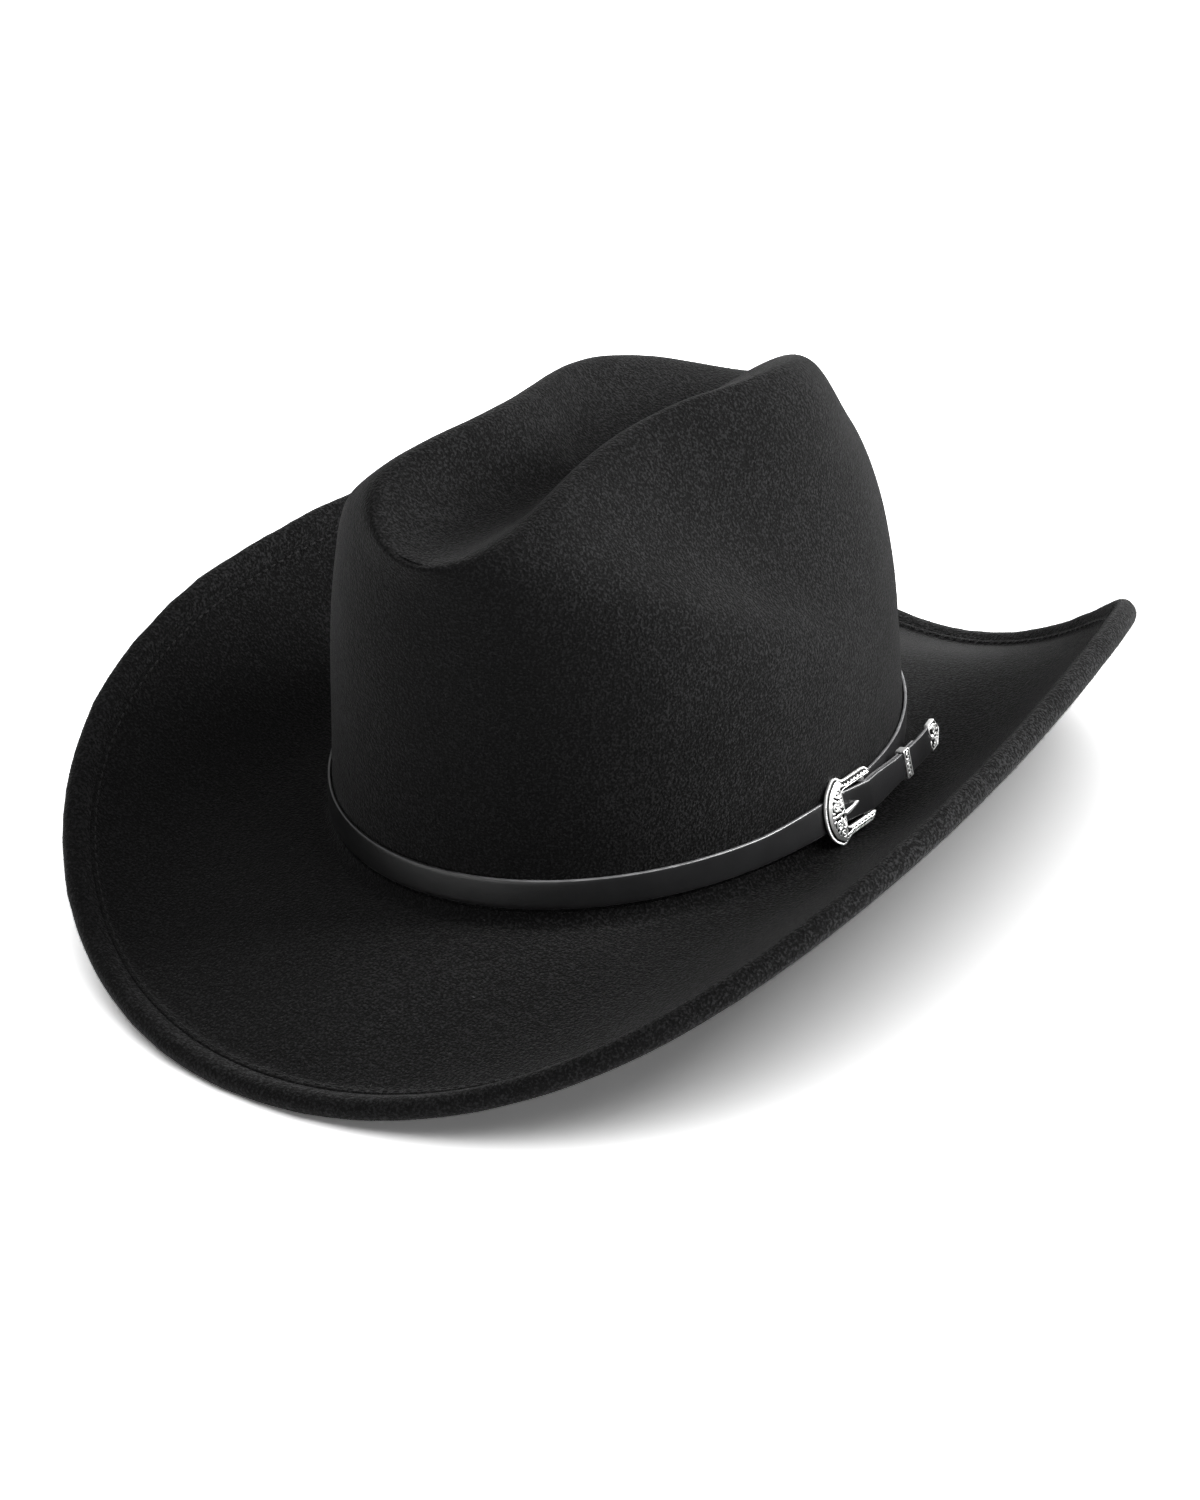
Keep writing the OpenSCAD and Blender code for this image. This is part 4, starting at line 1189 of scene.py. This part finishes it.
def makeInside(d):
    outer, inner, low, high = d["out"], d["out"] - d["thickness"], d["bottom"], d["bottom"] + d["height"]
    start, stop = pi + d["slit"], 3 * pi - d["slit"]
    fold = [(outer - 0.5 + 0.5 * cos(a), high - 0.5 + 0.5 * sin(a)) for a in np.radians(range(0, 181, 30))]
    hollow = [(inner - 0.12 * sin(pi * (z - low) / (high - low)), z) for z in np.linspace(high - 1, low + 3, 8)]
    body = [(outer, low), *((outer, z) for z in np.linspace(low, high - 0.5, 6)[1:-1]), *fold, *hollow,
            (inner, low + 2.2), (inner + 0.16, low + 1.6), (inner + 0.16, low + 0.8), (inner, low + 0.2),
            (inner + 0.2, low)]
    finishPiece(bandShell("leatherSweatband", body, start, stop, 220, bandLeather), "hat", "sweatband", "sweatband")
    middle, r = (outer + inner) / 2, d["reedRadius"]
    reed = [(middle + r * cos(a), low - hat["gap"] - r + r * sin(a)) for a in around(14)]
    finishPiece(bandShell("sweatbandReed", reed, start, stop, 220, reedVinyl), "hat", "reed", "sweatband_reed")
    half = d["tapeWidth"] / 2 / hat["crownWidth"]
    face, t = inner - hat["gap"] - 0.1, d["tapeThickness"]
    z0, z1 = low + d["tapeInset"], high - d["tapeInset"]
    tape = [(face, z0), (face, z1), (face - 0.2, z1 + 0.1), (face - t, z1 - 0.1), (face - t - 0.06, (z0 + z1) / 2),
            (face - t, z0 + 0.1), (face - 0.2, z0 - 0.1)]
    tape = bandShell("joinTape", tape, pi - half, pi + half, 24, tapeWeave)
    finishPiece(tape, "hat", "tape", "sweatband_joint_tape")
    phi = around(720)
    line, away = toHat(ovalRing(phi, inner - 0.1, low + d["stitchHeight"])), atHeight(-outDir(phi), 0)
    seam = repeat("bandStitches", line, away, bandThread, d["stitches"], d["stitchSize"], 24, 4, True)
    finishPiece(seam, "hat", "thread", "sweatband_stitching")


makeInside(inside)
print("sweatband done")


# ---- loose fibres on the felt ----
fibres = (
    # name, surface, how many to the square metre, length and thickness in mm, lean, bend, segments, seed, material
    ("crownFuzz", crown, 150000, 1.1, 0.022, 1.45, 0.4, 1, 3, fuzzFelt),
    ("brimFuzz", brim, 75000, 1.1, 0.022, 1.45, 0.4, 1, 5, fuzzFelt),
    ("hemFuzz", hem, 780000, 1.25, 0.034, 1.35, 0.4, 1, 9, fuzzFelt),
    ("brimLint", brim, 420, 1.5, 0.05, 1.55, 0.9, 4, 2, lintFibre),
    ("crownLint", crown, 160, 1.2, 0.045, 1.55, 0.9, 4, 4, lintFibre),
)
for name, surface, density, length, thickness, lean, sway, segments, seed, finish in fibres:
    fuzz = grown(name, surface.data, looseFibres, Density=density, Length=length / 1000, Thickness=thickness / 1000,
                 Lean=lean, Bend=sway, Segments=segments, Seed=seed, Finish=finish)
    finishPiece(fuzz, "hat", "felt")
    print(name, "has", len(fuzz.data.polygons), "faces")


# ---- floor, backdrop and light ----
hatMiddle = (0, 0, 0.06)
studio = dict(
    world=0.04, glossyShare=0.75, floorColour=0.5, floorExtra=2.4, floorGlow=0.1, farGlow=0.9, glowStart=0.25,
    glowEnd=0.48, floorReach=9000, floorDrop=0.2,
    metal=("engravedBow", "ropeEdge", "beadLine", "barLugs", "bucklePin", "strapLoop", "strapPoint", "hatbandStrap"),
    lamps=(  # name, place, size, power, aim, what it lights
        ("keySoftbox", (1.3, 1.3, 1.4), (1.1, 1.1), 24, hatMiddle, "hatOnly"),
        ("sideFill", (2.0, 0.0, 1.0), (1.2, 1.2), 4.5, hatMiddle, "hatOnly"),
        ("backPanel", (1.4, 1.5, 0.72), (1.3, 0.55), 29, hatMiddle, "hatOnly"),
        ("overheadPanel", (0.6, 0.6, 2.0), (1.6, 1.3), 2, (0, 0, 0), "hatOnly"),
        ("floorPanel", (-0.05, 0.2, 1.5), (3.0, 3.0), 35, (0, 0, 0), "floorOnly"),
        ("buckleLight", (1.25, 0.75, 1.25), (0.9, 0.9), 95, (0.1, 0.02, 0.04), "metalOnly"),
    ),
)


def makeWorld(s):
    world = bpy.data.worlds.new("studioWorld")
    bpy.context.scene.world = world
    world.use_nodes = True
    tree = world.node_tree
    ray = addNode(tree, "ShaderNodeLightPath").outputs
    glossy = times(tree, ray["Is Glossy Ray"], s["glossyShare"])
    seen = most(tree, ray["Is Camera Ray"], ray["Is Transmission Ray"], glossy)
    background = tree.nodes["Background"].inputs
    background["Color"].default_value = (1, 1, 1, 1)
    tree.links.new(spread(tree, seen, s["world"], 1.0), background["Strength"])


def makeFloor(s):
    material, tree, shader, place = newMaterial(
        "studioFloor", roughness=0.9, specular=0.1, colour=(*(s["floorColour"],) * 3, 1), glowColour=(1, 1, 1, 1))
    # the camera sees a whiter floor, without more light on the hat
    ray = addNode(tree, "ShaderNodeLightPath").outputs
    ray = most(tree, ray["Is Camera Ray"], ray["Is Glossy Ray"], ray["Is Transmission Ray"])
    reach = result(tree, "ShaderNodeVectorMath", {0: place}, "Value", operation="LENGTH")
    glow = result(tree, "ShaderNodeMapRange", {
        "Value": reach, "From Min": s["glowStart"], "From Max": s["glowEnd"],
        "To Min": s["floorGlow"], "To Max": s["farGlow"],
    }, interpolation_type="SMOOTHSTEP")
    tree.links.new(times(tree, ray, glow), shader.inputs["Emission Strength"])
    extra = times(tree, ray, s["floorExtra"])
    tint = result(tree, "ShaderNodeCombineColor", {0: extra, 1: extra, 2: extra})
    second = result(tree, "ShaderNodeBsdfDiffuse", {"Color": tint})
    both = result(tree, "ShaderNodeAddShader", {0: shader.outputs[0], 1: second})
    tree.links.new(both, tree.nodes["Material Output"].inputs["Surface"])
    shell = Shell()
    r, z = s["floorReach"], cadBox[0].z * 1000 - s["floorDrop"]
    shell.skin(shell.add([[[x, y, z] for x in (-r, r)] for y in (-r, r)]), closed=False)
    floor = shell.make("floor", material, smooth=False)
    return floor


def makeLamps(s, floor):
    metal = [bpy.data.objects[name] for name in s["metal"]]
    lit = {}
    for name, members in (("hatOnly", [floor]), ("floorOnly", [floor]), ("metalOnly", metal)):
        lit[name] = bpy.data.collections.new(name)
        for member in members:
            lit[name].objects.link(member)
    lit["hatOnly"].collection_objects[0].light_linking.link_state = "EXCLUDE"  # everything but the floor
    for name, place, size, power, aim, reach in s["lamps"]:
        light = bpy.data.lights.new(name, "AREA")
        light.shape, light.size, light.size_y, light.energy = "RECTANGLE", *size, power
        lamp = newObject(name, light)
        lamp.location = place
        lamp.rotation_euler = (Vector(aim) - Vector(place)).to_track_quat("-Z", "Y").to_euler()
        lamp.light_linking.receiver_collection = lit[reach]


makeWorld(studio)
makeLamps(studio, makeFloor(studio))
bpy.context.scene.view_settings.view_transform = "Standard"
print("studio done")

for name, material in (("brim_wire", plainSilver), ("buckle_bar", plainSilver), ("fold_stitching", bandThread)):
    mesh = frame["nodes"][name].data
    mesh.materials.clear()
    mesh.materials.append(material)
